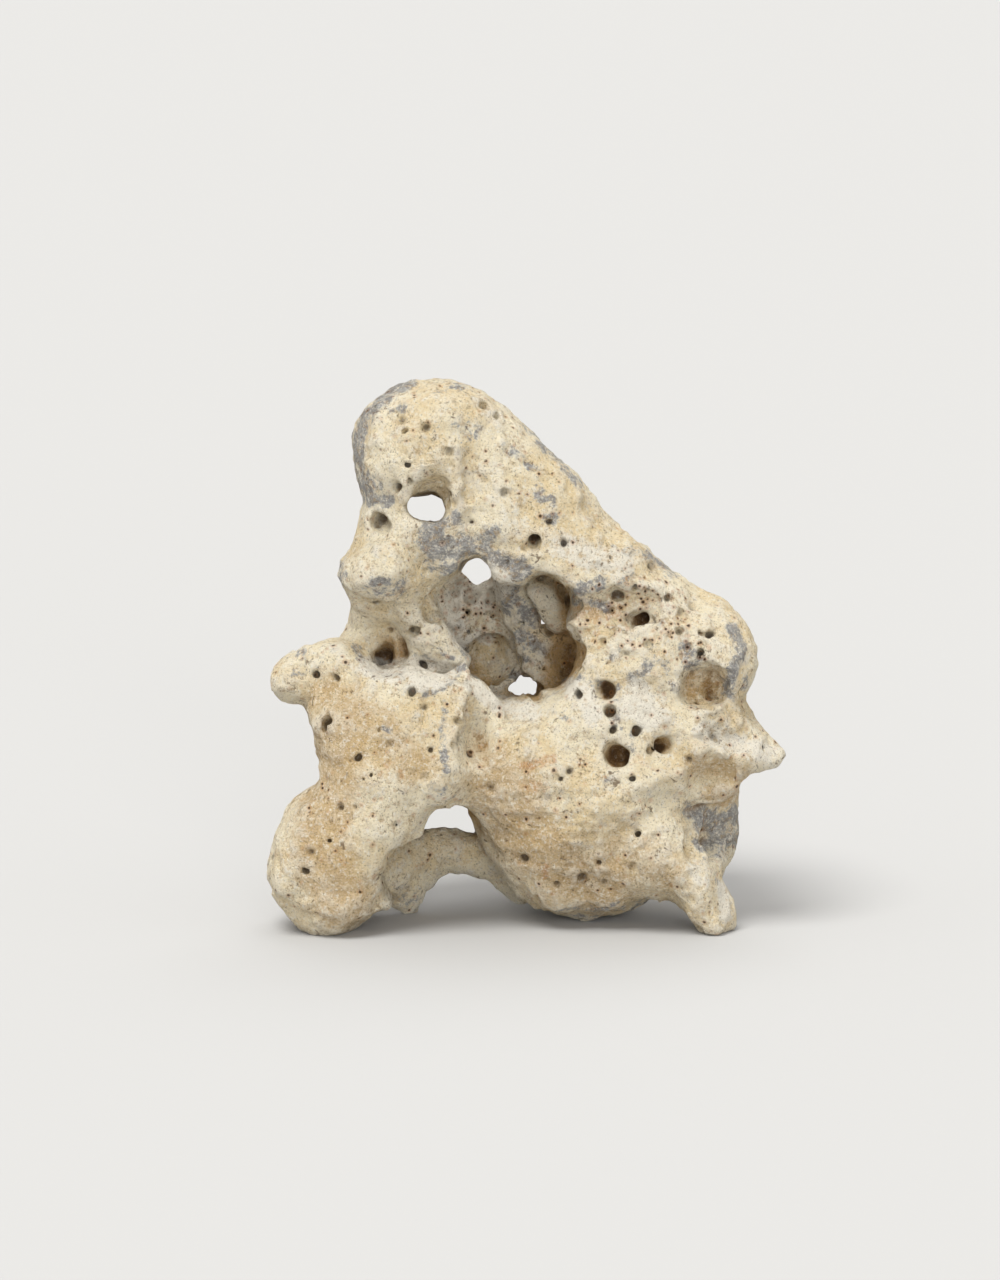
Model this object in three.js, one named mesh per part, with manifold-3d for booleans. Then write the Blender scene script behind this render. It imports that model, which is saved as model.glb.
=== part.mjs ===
// A holey limestone rock: one stone, bored and dissolved into lumps, bridges, hollows and ways through.
// Millimetres, +Z up, the front faces -Y. The origin is the middle of the stone's box, on the plane it rests on.
//
// The stone is worked as a field: a number at each point, negative in the rock and positive in the air, close to the
// distance from the surface. Masses melt together, the front outline trims them, ways through and hollows are taken
// out, and borings are drilled in from the sides. The surface of the field is meshed finely and then thinned.
import * as THREE from "three";
import Module from "manifold-3d";

const { lerp, smootherstep, clamp } = THREE.MathUtils;

// Driving dimensions.
const LOOK_DOWN = THREE.MathUtils.degToRad(9); // the front outline is drawn as seen from this far above level
const OUTLINE_ROUND = 12; // how softly the outline trims the masses
const OUTLINE_GROW = 0.9; // makes up for what that rounding takes off
const WANDER = 2.6; // how far the field wanders, so that no lump stays a true ellipsoid
const WANDER_SIZE = 26;
const RELIEF = 1.1; // low swells of the weathered skin
const RELIEF_SIZE = 11;
const BORING_EDGE = 1; // how softly a boring meets the skin
const CELL = 2.3; // spacing of the grid that the first mesh is taken from
const EVEN_PASSES = 4; // passes that even out the saw-tooth where two forms meet in a crease
const TRIANGLES = 9400; // what the thinned mesh keeps
const REST_LEVEL = 0.6; // the feet are worn flat at this height of the field
const LOW = [-112, -66, -8];
const HIGH = [112, 84, 226];
const STONE = { color: 0xd9c8a6, roughness: 0.95, metalness: 0 };

// The front outline, [across, up], clockwise from the left of the crown. Where the stone meets the ground it runs below.
const OUTLINE = [
  [-57, 211], [-47, 215], [-35, 217], [-23, 215], [-11, 208], [-4, 200], [4, 192], [12, 184], [20, 176], [26, 168],
  [31, 160], [39, 152], [51, 144], [61, 136], [69, 131], [79, 126], [87, 118], [91, 110], [91, 101], [87, 92],
  [85, 88], [88, 83], [93, 77], [99, 71], [102, 66], [99, 61], [93, 58], [87, 56], [85, 50], [85, 40], [83, 30],
  [80, 19], [81, 12], [82, 4], [81, -4], [75, -9], [69, -6], [64, 3], [60, 8], [54, 10], [48, 6], [35, 0],
  [17, -2], [5, 1], [-1, 6], [-7, 12], [-15, 18], [-23, 20], [-33, 19], [-40, 15], [-43, 9], [-46, 4], [-49, 1],
  [-54, 4], [-62, 3], [-72, -8], [-81, -10], [-90, -5], [-98, 3], [-103, 9], [-104, 18], [-102, 30], [-98, 42],
  [-94, 50], [-85, 56], [-82, 61], [-83, 68], [-85, 76], [-89, 84], [-99, 87], [-104, 93], [-104, 103], [-98, 108],
  [-89, 112], [-80, 114], [-74, 119], [-72, 126], [-76, 134], [-75, 144], [-70, 151], [-68, 160], [-66, 168],
  [-69, 178], [-71, 188], [-70, 198], [-66, 206],
];

// A bone is a chain of points [x, y, z, radius], and an egg is a centre and three radii. The first number is how
// softly the form melts into, or is taken out of, what is there.
const bone = (blend, ...points) => ({ blend, points });
const egg = (blend, at, radii) => ({ blend, at, radii });

const MASSES = [
  // the crown, and the slab that falls away to the right
  egg(8, [-36, -2, 191], [38, 38, 30]),
  bone(8, [-34, -3, 184, 30], [2, -4, 166, 28], [38, 0, 139, 27], [68, 2, 112, 26]),
  bone(8, [-34, -10, 174, 26], [0, -12, 152, 24], [30, -12, 134, 24], [56, -10, 114, 24]),
  bone(8, [-52, 0, 186, 20], [-54, -4, 162, 19], [-58, -8, 142, 18]),
  egg(8, [-36, -6, 156], [28, 26, 16]),
  egg(4, [-59, -21, 142], [17, 15, 13]),
  bone(6, [-50, -15, 142, 13], [-40, -14, 146, 11]),
  // the right face, shoulder, column, horn and leg
  egg(8, [46, -10, 112], [34, 30, 30]),
  egg(8, [73, -6, 108], [21, 32, 24]),
  bone(8, [72, -6, 100, 22], [70, -8, 76, 22], [68, 0, 50, 20], [68, -4, 30, 18]),
  egg(8, [36, -14, 86], [40, 29, 26]),
  bone(8, [70, -18, 84, 19], [86, -20, 76, 14], [97, -23, 70.5, 8]),
  bone(4, [60, -35, 79, 7], [78, -34, 71, 6], [96, -27, 67, 5]),
  bone(6, [46, -26, 66, 18], [74, -28, 68, 13]),
  bone(8, [40, -24, 56, 20], [54, -26, 38, 14]),
  bone(8, [50, -20, 34, 20], [62, -22, 20, 18], [73, -29, 5, 12]),
  bone(8, [44, -26, 40, 16], [58, -31, 24, 12], [66, -33, 8, 10]),
  // the middle body, and the heel hidden behind it
  egg(8, [24, -2, 42], [46, 42, 42]),
  egg(8, [12, -16, 68], [40, 30, 28]),
  egg(8, [16, -24, 54], [34, 22, 30]),
  bone(8, [16, 26, 36, 26], [22, 30, 10, 16]),
  // the left lobe with its rim, seam and knob, and the left foot
  egg(8, [-60, -20, 78], [34, 30, 30]),
  egg(8, [-52, -26, 70], [27, 22, 26]),
  bone(8, [-46, -24, 66, 22], [-74, -24, 30, 26]),
  bone(8, [-62, -30, 64, 20], [-68, -29, 40, 22]),
  bone(5, [-86, -16, 104, 12], [-74, -26, 105, 9], [-62, -33, 99, 8], [-50, -35, 99, 8], [-38, -35, 96, 8], [-28, -34, 92, 8]),
  bone(7, [-26, -34, 100, 6], [-30, -38, 84, 8], [-33, -40, 66, 9]),
  bone(6, [-80, -14, 101, 15], [-93, -16, 99, 13]),
  egg(8, [-78, -20, 28], [30, 32, 35]),
  bone(9, [-34, -20, 66, 20], [-6, -18, 60, 20]),
  egg(7, [-14, -16, 76], [20, 19, 14]),
  // the left wall above the lobe, and the masses at the back
  bone(8, [-58, 4, 140, 19], [-56, 10, 118, 20], [-62, 8, 98, 20]),
  bone(8, [-54, 20, 104, 24], [-58, 22, 76, 24], [-64, 10, 46, 22]),
  egg(8, [44, 30, 112], [38, 34, 32]),
  egg(8, [40, 32, 70], [42, 36, 36]),
  egg(8, [6, 42, 62], [40, 28, 28]),
  bone(8, [-14, 42, 84, 18], [-34, 38, 70, 18], [-46, 26, 50, 18]),
];

const WAYS_THROUGH = [
  // the middle window, its cave to the right, and the way out at the back
  egg(4, [-12, -30, 118], [25, 42, 22]),
  bone(4, [-22, -60, 145, 7], [-22, 0, 134, 10.5]),
  bone(4, [6, -60, 139, 9], [7, 8, 126, 13]),
  bone(4, [9, -60, 113, 9], [8, 14, 104, 14]),
  bone(4, [-14, -10, 120, 18], [-16, 90, 122, 24]),
  // the dish on the left, above the lobe
  egg(4, [-58, -40, 118], [18, 31, 14.5]),
  // the low arch on the left, and the arches along the ground
  bone(4, [-31, -70, 44, 11], [-31, -20, 42.5, 10.5], [-35, 10, 40, 9], [-38, 80, 28, 18]),
  bone(5, [-41, -70, 22, 15], [-40, 0, 24, 16]),
  bone(8, [-29, -70, 24, 13], [-29, 0, 26, 12]),
  bone(4, [-24, -70, -3, 19], [-24, 70, -8, 20]),
  bone(3, [53, -70, -4, 8], [50, -16, -7, 10], [54, 60, -10, 18]),
  // the cavity under the horn and the hollow face above it, and the hollow between the left lobe and the middle body
  bone(1.5, [63, -42, 47, 5], [76, -40, 50, 9.5], [98, -38, 53, 12]),
  bone(2, [69, -39, 38, 8], [98, -37, 51, 15]),
  bone(3, [74, -24, 37, 8], [104, -20, 49, 15]),
  egg(3, [73, -58, 66], [17, 23, 10]),
  egg(3, [-19, -50, 84], [8.5, 20, 16]),
];

const INNER_FORMS = [
  // what shows in the window: the rear lobe, the septum, the small column, the tooth, and the webs beside the dish
  bone(5, [-32, 49, 111, 17], [-20, 50, 103, 19], [-16, 48, 88, 16]),
  bone(4, [-31, 51, 119.5, 12.5], [-17, 51, 124.5, 11]),
  bone(5, [-3, 26, 138, 10], [-2, 28, 116, 7], [4, 26, 94, 9]),
  bone(2, [8, 14, 131, 6], [13, 18, 119, 5.5]),
  bone(6, [-46, -14, 128, 9], [-40, -12, 114, 9], [-30, -14, 105, 7]),
  bone(2, [-28, -33, 96, 6], [-25, -34, 110, 1.8]),
  bone(2, [-24, -31, 98, 4.5], [-11, -29, 88, 4.5]),
  // the strut behind the low arch, and its toe
  bone(5, [-62, 4, 22, 14], [-38, 12, 26, 8], [-20, 12, 25, 9], [-4, 10, 28, 13]),
  bone(5, [-52, 6, 16, 10], [-48, 9, 3, 3.5]),
  bone(4, [-49, 8, 10, 6], [-40, 11, 20, 6]),
  bone(4, [-16, 12, 22, 6], [-4, 10, 12, 7]),
];

const HOLLOWS = [
  // the round way through the crown with its flare, and the ways out at the back of the window
  bone(2, [-44, -60, 174, 6], [-44, -20, 168, 6], [-44, 60, 156, 7]),
  bone(2, [-39, -60, 174, 6], [-39, -20, 168, 6], [-40, 60, 156, 7]),
  egg(4, [-38, -40, 174], [10, 14, 9]),
  bone(3, [-23, -60, 149, 5.5], [-22, 10, 139, 6.5], [-21, 70, 132, 10]),
  bone(1, [-8, -30, 97, 3], [-8, 0, 92, 3.4], [-7, 50, 85, 4], [-6, 90, 79, 10]),
  bone(1, [-3, -30, 98.5, 4], [-3, 0, 93.5, 4.4], [-3, 50, 85.5, 5], [-3, 90, 79, 10]),
  bone(1, [3, -30, 97, 3], [3, 0, 92, 3.4], [2, 50, 85, 4], [1, 90, 79, 10]),
  // the hollow of the rear lobe, the round hollow of the shoulder, and the grooves under the slab
  egg(1.5, [-16, 31, 100.5], [11, 16, 12]),
  egg(1, [-23, 41, 130], [6.5, 6, 4]),
  egg(1, [68, -39, 101], [12, 14, 10.5]),
  bone(2, [16, -38, 131, 7], [46, -36, 130, 6.5]),
  bone(1, [14, -35, 123.5, 3.2], [30, -34.5, 123.5, 3.6], [44, -32, 123.5, 4.5]),
];

// A boring is the side it is seen from, its mouth across and up in that side's view, its radius and depth, and how far
// it leans across and up as it goes in.
const BORINGS = [
  ["front", -59, 158, 4, 9, 0, 0.2],
  ["front", -52, 172, 2.5, 6, 0.3, 0],
  ["front", 2, 150, 2.8, 10, 0, 0.5],
  ["front", -18, 204, 2, 4, 0.2, 0],
  ["front", -57, 105, 4.4, 14, 0, 0],
  ["front", -79, 80, 2.5, 8, 0, -0.4],
  ["front", 34, 67, 5, 12, 0.2, -0.2],
  ["front", 41, 57, 1.8, 5, 0, 0],
  ["front", 54, 71, 2.6, 12, -0.6, -0.2],
  ["front", 71, 113, 2.5, 8, 0, 0],
  ["front", 34, 129, 2, 6, 0.2, 0],
  ["front", 44, 119, 3.4, 8, 0.5, 0],
  ["front", 29, 92, 3.2, 7, 0.3, 0],
  ["front", 32, 84, 2, 6, 0, -0.3],
  ["front", -38, 122, 3.4, 8, 0.3, -0.3],
  ["front", -45, 115, 2.2, 5, 0, 0],
  ["front", -23, 129, 3, 6, 0, 0],
  ["front", 21, 17, 1.8, 4, 0, 0],
  ["left", -14, 102, 2.6, 5, 0, 0],
  ["back", -52, 84, 5, 14, 0.2, 0],
  ["back", -66, 60, 3, 9, 0, 0.2],
  ["back", -30, 186, 4, 12, 0, -0.2],
  ["back", 6, 160, 3, 10, 0.2, 0],
  ["back", 30, 132, 6, 16, 0, 0.2],
  ["back", 66, 118, 3, 10, 0, 0],
  ["back", 44, 92, 4, 14, -0.3, 0],
  ["back", 20, 60, 7, 18, 0, 0.2],
  ["back", 58, 60, 3, 10, 0.2, 0.2],
  ["back", -2, 40, 3.4, 10, 0, 0],
  ["back", 46, 34, 2.6, 8, 0, 0],
  ["right", 10, 118, 3.2, 9, 0, 0],
  ["right", 24, 84, 5, 14, 0, 0.1],
  ["right", 30, 52, 3, 9, 0, 0],
  ["left", 10, 184, 3.4, 10, 0, 0],
  ["left", 14, 96, 5, 12, 0, 0],
  ["left", -8, 34, 2.6, 7, 0, 0],
  ["left", 8, 60, 3.4, 9, 0, 0.2],
  ["top", -26, 14, 3.2, 9, 0, 0],
  ["top", 30, 12, 2.8, 8, 0, 0],
];

const softMin = (a, b, k) => Math.min(a, b) - (Math.max(k - Math.abs(a - b), 0) ** 2 * 0.25) / k;
const softMax = (a, b, k) => -softMin(-a, -b, k);

// A pseudo-random number from -1 to 1 at each whole point of a lattice.
function latticeNumber(i, j, k, seed) {
  let h = Math.imul(i, 374761393) + Math.imul(j, 668265263) + Math.imul(k, 2246822519) + Math.imul(seed, 3266489917);
  h = Math.imul(h ^ (h >>> 15), 2246822519);
  h = Math.imul(h ^ (h >>> 13), 3266489917);
  return ((h ^ (h >>> 16)) & 0xffff) / 32767.5 - 1;
}

// Those numbers, smoothed between the corners of cells of the given size.
function noise(x, y, z, size, seed) {
  const [i, j, k] = [Math.floor(x / size), Math.floor(y / size), Math.floor(z / size)];
  const [f, g, e] = [x / size - i, y / size - j, z / size - k].map((t) => smootherstep(t, 0, 1));
  const edge = (a, b) => lerp(latticeNumber(i + a, j + b, k, seed), latticeNumber(i + a, j + b, k + 1, seed), e);
  return lerp(lerp(edge(0, 0), edge(0, 1), g), lerp(edge(1, 0), edge(1, 1), g), f);
}

// Distance from a bone, a chain of round-ended cones.
function boneDistance({ points }, x, y, z) {
  let nearest = Infinity;
  for (let n = 1; n < points.length; n++) {
    const [[ax, ay, az, ar], [bx, by, bz, br]] = [points[n - 1], points[n]];
    const [dx, dy, dz] = [bx - ax, by - ay, bz - az];
    const along = ((x - ax) * dx + (y - ay) * dy + (z - az) * dz) / (dx * dx + dy * dy + dz * dz);
    const t = clamp(along, 0, 1);
    nearest = Math.min(nearest, Math.hypot(x - ax - t * dx, y - ay - t * dy, z - az - t * dz) - lerp(ar, br, t));
  }
  return nearest;
}

// Distance from an egg, an ellipsoid, near enough for blending.
function eggDistance({ at, radii: [r, s, t] }, x, y, z) {
  const [p, q, w] = [x - at[0], y - at[1], z - at[2]];
  const scaled = Math.hypot(p / r, q / s, w / t) + 1e-6;
  return (scaled * (scaled - 1)) / (Math.hypot(p / r ** 2, q / s ** 2, w / t ** 2) + 1e-9);
}

// Adds the sphere outside which a form can't change the field, so that far forms are skipped.
const REACH_MARGIN = 14;
function withReach(form) {
  const round = form.points ?? [[...form.at, Math.max(...form.radii)]];
  const box = new THREE.Box3().setFromPoints(round.map(([x, y, z]) => new THREE.Vector3(x, y, z)));
  const centre = box.getCenter(new THREE.Vector3());
  const furthest = Math.max(...round.map(([x, y, z, r]) => centre.distanceTo(new THREE.Vector3(x, y, z)) + r));
  return { ...form, centre, reach: furthest + REACH_MARGIN, distance: form.points ? boneDistance : eggDistance };
}

const inReach = ({ centre, reach }, x, y, z) =>
  (x - centre.x) ** 2 + (y - centre.y) ** 2 + (z - centre.z) ** 2 < reach ** 2;

function join(f, forms, x, y, z) {
  for (const form of forms)
    if (inReach(form, x, y, z)) f = softMin(f, form.distance(form, x, y, z), form.blend);
  return f;
}

function takeOut(f, forms, x, y, z) {
  for (const form of forms)
    if (inReach(form, x, y, z)) f = softMax(f, -form.distance(form, x, y, z), form.blend);
  return f;
}

// Signed distance to the smoothed front outline, kept as a table over across and up.
const TABLE = { across: -130, up: -45, step: 1, columns: 261, rows: 291 };
function outlineTable() {
  const points = OUTLINE.map(([across, up]) => new THREE.Vector3(across, up, 0));
  const curve = new THREE.CatmullRomCurve3(points, true, "catmullrom", 0.5).getPoints(OUTLINE.length * 4);
  const shape = curve.slice(0, -1).map((p) => new THREE.Vector2(p.x, p.y));
  return Float32Array.from({ length: TABLE.columns * TABLE.rows }, (_, n) => {
    const x = TABLE.across + TABLE.step * (n % TABLE.columns);
    const y = TABLE.up + TABLE.step * Math.floor(n / TABLE.columns);
    let [nearest, inside] = [Infinity, false];
    shape.forEach((b, m) => {
      const a = shape.at(m - 1);
      const [dx, dy] = [b.x - a.x, b.y - a.y];
      const t = clamp(((x - a.x) * dx + (y - a.y) * dy) / (dx * dx + dy * dy), 0, 1);
      nearest = Math.min(nearest, Math.hypot(x - a.x - t * dx, y - a.y - t * dy));
      if (a.y > y !== b.y > y && x < (dx * (y - a.y)) / dy + a.x) inside = !inside;
    });
    return inside ? -nearest : nearest;
  });
}
const outlineDistances = outlineTable();

function outlineDistance(across, up) {
  const c = clamp((across - TABLE.across) / TABLE.step, 0, TABLE.columns - 1.001);
  const r = clamp((up - TABLE.up) / TABLE.step, 0, TABLE.rows - 1.001);
  const [i, j] = [Math.floor(c), Math.floor(r)];
  const at = (a, b) => outlineDistances[(j + b) * TABLE.columns + i + a];
  return lerp(lerp(at(0, 0), at(1, 0), c - i), lerp(at(0, 1), at(1, 1), c - i), r - j);
}

const [masses, waysThrough, innerForms, hollows] = [MASSES, WAYS_THROUGH, INNER_FORMS, HOLLOWS].map((forms) =>
  forms.map(withReach),
);
const FAR = 20;

// The stone before its borings.
function unbored(x, y, z) {
  const wander = (seed) =>
    WANDER * (noise(x, y, z, WANDER_SIZE, seed) + 0.45 * noise(x, y, z, WANDER_SIZE * 0.43, seed + 10));
  const p = [x + wander(1), y + wander(2), z + wander(3)];
  const up = y * Math.sin(LOOK_DOWN) + z * Math.cos(LOOK_DOWN);
  let f = join(FAR, masses, ...p);
  f = softMax(f, outlineDistance(x, up) - OUTLINE_GROW, OUTLINE_ROUND);
  f = takeOut(f, waysThrough, ...p);
  f = join(f, innerForms, ...p);
  f = takeOut(f, hollows, ...p);
  return f + RELIEF * noise(x, y, z, RELIEF_SIZE, 21);
}

// The frame of each side that borings are placed from: across and up in its view, and the way into the stone.
const vector = (x, y, z) => new THREE.Vector3(x, y, z);
const SIDES = {
  front: {
    across: vector(1, 0, 0),
    up: vector(0, Math.sin(LOOK_DOWN), Math.cos(LOOK_DOWN)),
    into: vector(0, Math.cos(LOOK_DOWN), -Math.sin(LOOK_DOWN)),
  },
  back: { across: vector(1, 0, 0), up: vector(0, 0, 1), into: vector(0, -1, 0) },
  left: { across: vector(0, 1, 0), up: vector(0, 0, 1), into: vector(1, 0, 0) },
  right: { across: vector(0, 1, 0), up: vector(0, 0, 1), into: vector(-1, 0, 0) },
  top: { across: vector(1, 0, 0), up: vector(0, 1, 0), into: vector(0, 0, -1) },
};

// A boring starts where the line of sight from its side meets the stone, and runs in with a slight flare at its mouth.
const SIGHT_START = 260;
const SIGHT_STEP = 0.5;
function drill([side, across, up, radius, depth, leanAcross = 0, leanUp = 0]) {
  const view = SIDES[side];
  const start = vector(0, 0, 0).addScaledVector(view.across, across).addScaledVector(view.up, up);
  const mouth = start.clone().addScaledVector(view.into, -SIGHT_START);
  while (unbored(mouth.x, mouth.y, mouth.z) > 0) {
    mouth.addScaledVector(view.into, SIGHT_STEP);
    if (mouth.distanceTo(start) > SIGHT_START + 1) throw new Error(`boring at ${side} ${across}, ${up} misses the stone`);
  }
  const way = view.into.clone().addScaledVector(view.across, leanAcross).addScaledVector(view.up, leanUp).normalize();
  const outer = mouth.clone().addScaledVector(way, -1.2 * radius);
  const end = mouth.clone().addScaledVector(way, depth - radius);
  return bone(BORING_EDGE, [...outer, radius * 1.2], [...mouth, radius], [...end, radius * 0.9]);
}
const borings = BORINGS.map(drill).map(withReach);

const stone = (x, y, z) => takeOut(unbored(x, y, z), borings, x, y, z);

// Meshes the zero surface of a field by cutting each cell of a grid into six tetrahedra, which always closes.
const TETRAHEDRA = [[1, 2, 4], [2, 4, 1], [4, 1, 2], [2, 1, 4], [1, 4, 2], [4, 2, 1]].map(([a, b], n) =>
  n < 3 ? [0, a, a | b, 7] : [0, a | b, a, 7],
);
// For each set of corners in the rock, the corners in an order that turns the same way as the tetrahedron.
const TURNS = {
  1: [0, 1, 2, 3], 2: [1, 0, 3, 2], 4: [2, 0, 1, 3], 8: [3, 0, 2, 1],
  3: [0, 1, 2, 3], 5: [0, 2, 3, 1], 9: [0, 3, 1, 2], 6: [1, 2, 0, 3], 10: [1, 3, 2, 0], 12: [2, 3, 0, 1],
};
function surfaceOf(field) {
  const n = LOW.map((low, axis) => Math.ceil((HIGH[axis] - low) / CELL) + 1);
  const values = new Float32Array(n[0] * n[1] * n[2]);
  const place = (index) => {
    const i = index % n[0];
    const j = Math.floor(index / n[0]) % n[1];
    const k = Math.floor(index / (n[0] * n[1]));
    return [LOW[0] + i * CELL, LOW[1] + j * CELL, LOW[2] + k * CELL];
  };
  values.forEach((_, index) => (values[index] = field(...place(index))));

  const offset = Array.from({ length: 8 }, (_, c) => (c & 1) + ((c >> 1) & 1) * n[0] + (c >> 2) * n[0] * n[1]);
  const [points, faces, made] = [[], [], new Map()];
  const crossing = (base, a, b) => {
    const [p, q] = [base + offset[a & b], base + offset[a | b]];
    const key = p * 8 + (a ^ b);
    if (!made.has(key)) {
      const t = clamp(values[p] / (values[p] - values[q]), 0.06, 0.94);
      made.set(key, points.length);
      points.push(vector(...place(p)).lerp(vector(...place(q)), t));
    }
    return made.get(key);
  };
  for (let k = 0; k < n[2] - 1; k++)
    for (let j = 0; j < n[1] - 1; j++)
      for (let i = 0; i < n[0] - 1; i++) {
        const base = i + n[0] * (j + n[1] * k);
        const rock = offset.map((o) => values[base + o] < 0);
        if (rock.every(Boolean) || !rock.some(Boolean)) continue;
        for (const corners of TETRAHEDRA) {
          const set = corners.reduce((sum, c, m) => sum + (rock[c] ? 1 << m : 0), 0);
          if (set === 0 || set === 15) continue;
          const count = corners.filter((c) => rock[c]).length;
          const [a, b, c, d] = TURNS[count === 3 ? 15 - set : set].map((m) => corners[m]);
          const cut = (from, to) => crossing(base, from, to);
          if (count === 1) faces.push([cut(a, b), cut(a, c), cut(a, d)]);
          else if (count === 3) faces.push([cut(a, b), cut(a, d), cut(a, c)]);
          else faces.push([cut(a, c), cut(a, d), cut(b, d)], [cut(a, c), cut(b, d), cut(b, c)]);
        }
      }
  return { points, faces };
}

// Takes the saw edges off a mesh. Each pass draws every point towards the middle of its neighbours and then pushes it
// back out by as much, which keeps the stone's volume.
function evenOut({ points, faces }) {
  const neighbours = points.map(() => new Set());
  for (const [a, b, c] of faces) {
    neighbours[a].add(b).add(c);
    neighbours[b].add(c).add(a);
    neighbours[c].add(a).add(b);
  }
  const drawn = (from, share) =>
    from.map((point, n) => {
      const middle = vector(0, 0, 0);
      for (const other of neighbours[n]) middle.add(from[other]);
      return point.clone().lerp(middle.divideScalar(neighbours[n].size), share);
    });
  for (let pass = 0; pass < EVEN_PASSES; pass++) points = drawn(drawn(points, 0.5), -0.52);
  return { points, faces };
}

// A queue that gives back its cheapest entry first.
class CheapestFirst {
  entries = [];
  push(entry) {
    const e = this.entries;
    let n = e.push(entry) - 1;
    while (n > 0 && e[(n - 1) >> 1].cost > entry.cost) {
      e[n] = e[(n - 1) >> 1];
      n = (n - 1) >> 1;
    }
    e[n] = entry;
  }
  pop() {
    const e = this.entries;
    const [first, last] = [e[0], e.pop()];
    if (!e.length) return first;
    for (let n = 0; ; ) {
      let child = 2 * n + 1;
      if (child + 1 < e.length && e[child + 1].cost < e[child].cost) child++;
      if (child >= e.length || e[child].cost >= last.cost) {
        e[n] = last;
        return first;
      }
      e[n] = e[child];
      n = child;
    }
  }
}

// Thins a closed mesh to the wanted number of faces. Each step draws one edge together to the point that lies nearest
// to the planes of all the faces it stands for, and is left out where it would fold or pinch the surface.
function thin({ points, faces }, wanted) {
  const around = points.map(() => new Set());
  faces.forEach((face, n) => face.forEach((p) => around[p].add(n)));
  const stamp = new Int32Array(points.length);
  const planes = points.map(() => new Float64Array(10)); // a symmetric 4 by 4 sum of squared planes, upper half
  const edgeNormal = (a, b, c) => b.clone().sub(a).cross(c.clone().sub(a));

  const addPlane = (sum, normal, d, weight) => {
    const v = [normal.x, normal.y, normal.z, d];
    for (let i = 0, n = 0; i < 4; i++) for (let j = i; j < 4; j++) sum[n++] += weight * v[i] * v[j];
  };
  for (const face of faces) {
    const [a, b, c] = face.map((p) => points[p]);
    const normal = edgeNormal(a, b, c);
    const area = normal.length() / 2;
    if (area === 0) continue;
    normal.normalize();
    for (const p of face) addPlane(planes[p], normal, -normal.dot(a), area);
  }
  const squared = (q, { x, y, z }) =>
    q[0] * x * x + 2 * q[1] * x * y + 2 * q[2] * x * z + 2 * q[3] * x + q[4] * y * y +
    2 * q[5] * y * z + 2 * q[6] * y + q[7] * z * z + 2 * q[8] * z + q[9];

  const solver = new THREE.Matrix3();
  const best = (q, a, b) => {
    const middle = a.clone().add(b).multiplyScalar(0.5);
    const pull = 1e-3 * (q[0] + q[4] + q[7]); // a light pull to the middle keeps the answer near the edge
    solver.set(q[0] + pull, q[1], q[2], q[1], q[4] + pull, q[5], q[2], q[5], q[7] + pull);
    const side = vector(pull * middle.x - q[3], pull * middle.y - q[6], pull * middle.z - q[8]);
    return solver.determinant() > 1e-12 ? side.applyMatrix3(solver.invert()) : middle;
  };
  const queue = new CheapestFirst();
  const offer = (a, b) => {
    const sum = planes[a].map((value, n) => value + planes[b][n]);
    const to = best(sum, points[a], points[b]);
    const cost = squared(sum, to) + 1e-3 * points[a].distanceToSquared(points[b]);
    queue.push({ cost, a, b, to, sum, stamps: [stamp[a], stamp[b]] });
  };
  const neighbours = (p) => new Set([...around[p]].flatMap((n) => faces[n]).filter((other) => other !== p));
  const folds = (p, other, to) =>
    [...around[p]].some((n) => {
      if (faces[n].includes(other)) return false;
      const before = edgeNormal(...faces[n].map((v) => points[v]));
      const after = edgeNormal(...faces[n].map((v) => (v === p ? to : points[v])));
      return after.dot(before) < 0.25 * after.length() * before.length() || after.lengthSq() < 1e-4;
    });

  points.forEach((_, a) => neighbours(a).forEach((b) => a < b && offer(a, b)));
  let left = faces.length;
  while (left > wanted && queue.entries.length) {
    const { a, b, to, sum, stamps } = queue.pop();
    if (stamp[a] !== stamps[0] || stamp[b] !== stamps[1]) continue;
    const shared = [...neighbours(a)].filter((p) => neighbours(b).has(p));
    if (shared.length !== 2 || folds(a, b, to) || folds(b, a, to)) continue;
    for (const n of around[b]) {
      if (faces[n].includes(a)) {
        for (const p of faces[n]) if (p !== b) around[p].delete(n);
        faces[n] = null;
        left--;
      } else {
        faces[n] = faces[n].map((p) => (p === b ? a : p));
        around[a].add(n);
      }
    }
    around[b].clear();
    stamp[b]++;
    stamp[a]++;
    points[a] = to;
    planes[a] = sum;
    for (const p of neighbours(a)) offer(a, p);
  }
  return { points, faces: faces.filter(Boolean) };
}

const wasm = await Module();
wasm.setup();

function solidOf({ points, faces }) {
  const numbers = new Map([...new Set(faces.flat())].map((p, n) => [p, n]));
  const vertProperties = new Float32Array([...numbers.keys()].flatMap((p) => points[p].toArray()));
  const triVerts = new Uint32Array(faces.flat().map((p) => numbers.get(p)));
  return new wasm.Manifold(new wasm.Mesh({ numProp: 3, vertProperties, triVerts }));
}

function meshOf(geometry) {
  const index = geometry.toNonIndexed().getAttribute("position");
  const welded = new Map();
  const faces = [];
  const points = [];
  for (let n = 0; n < index.count; n++) {
    const point = new THREE.Vector3().fromBufferAttribute(index, n);
    const key = point.toArray().join();
    if (!welded.has(key)) welded.set(key, points.push(point) - 1);
    if (n % 3 === 0) faces.push([]);
    faces.at(-1).push(welded.get(key));
  }
  return { points, faces };
}

// The ground, which the feet are worn flat against.
const ground = new THREE.BoxGeometry(400, 400, 60).translate(0, 0, REST_LEVEL - 30);
const pieces = solidOf(thin(evenOut(surfaceOf(stone)), TRIANGLES)).subtract(solidOf(meshOf(ground))).decompose();
const worn = pieces.sort((a, b) => b.volume() - a.volume())[0].getMesh();

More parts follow.
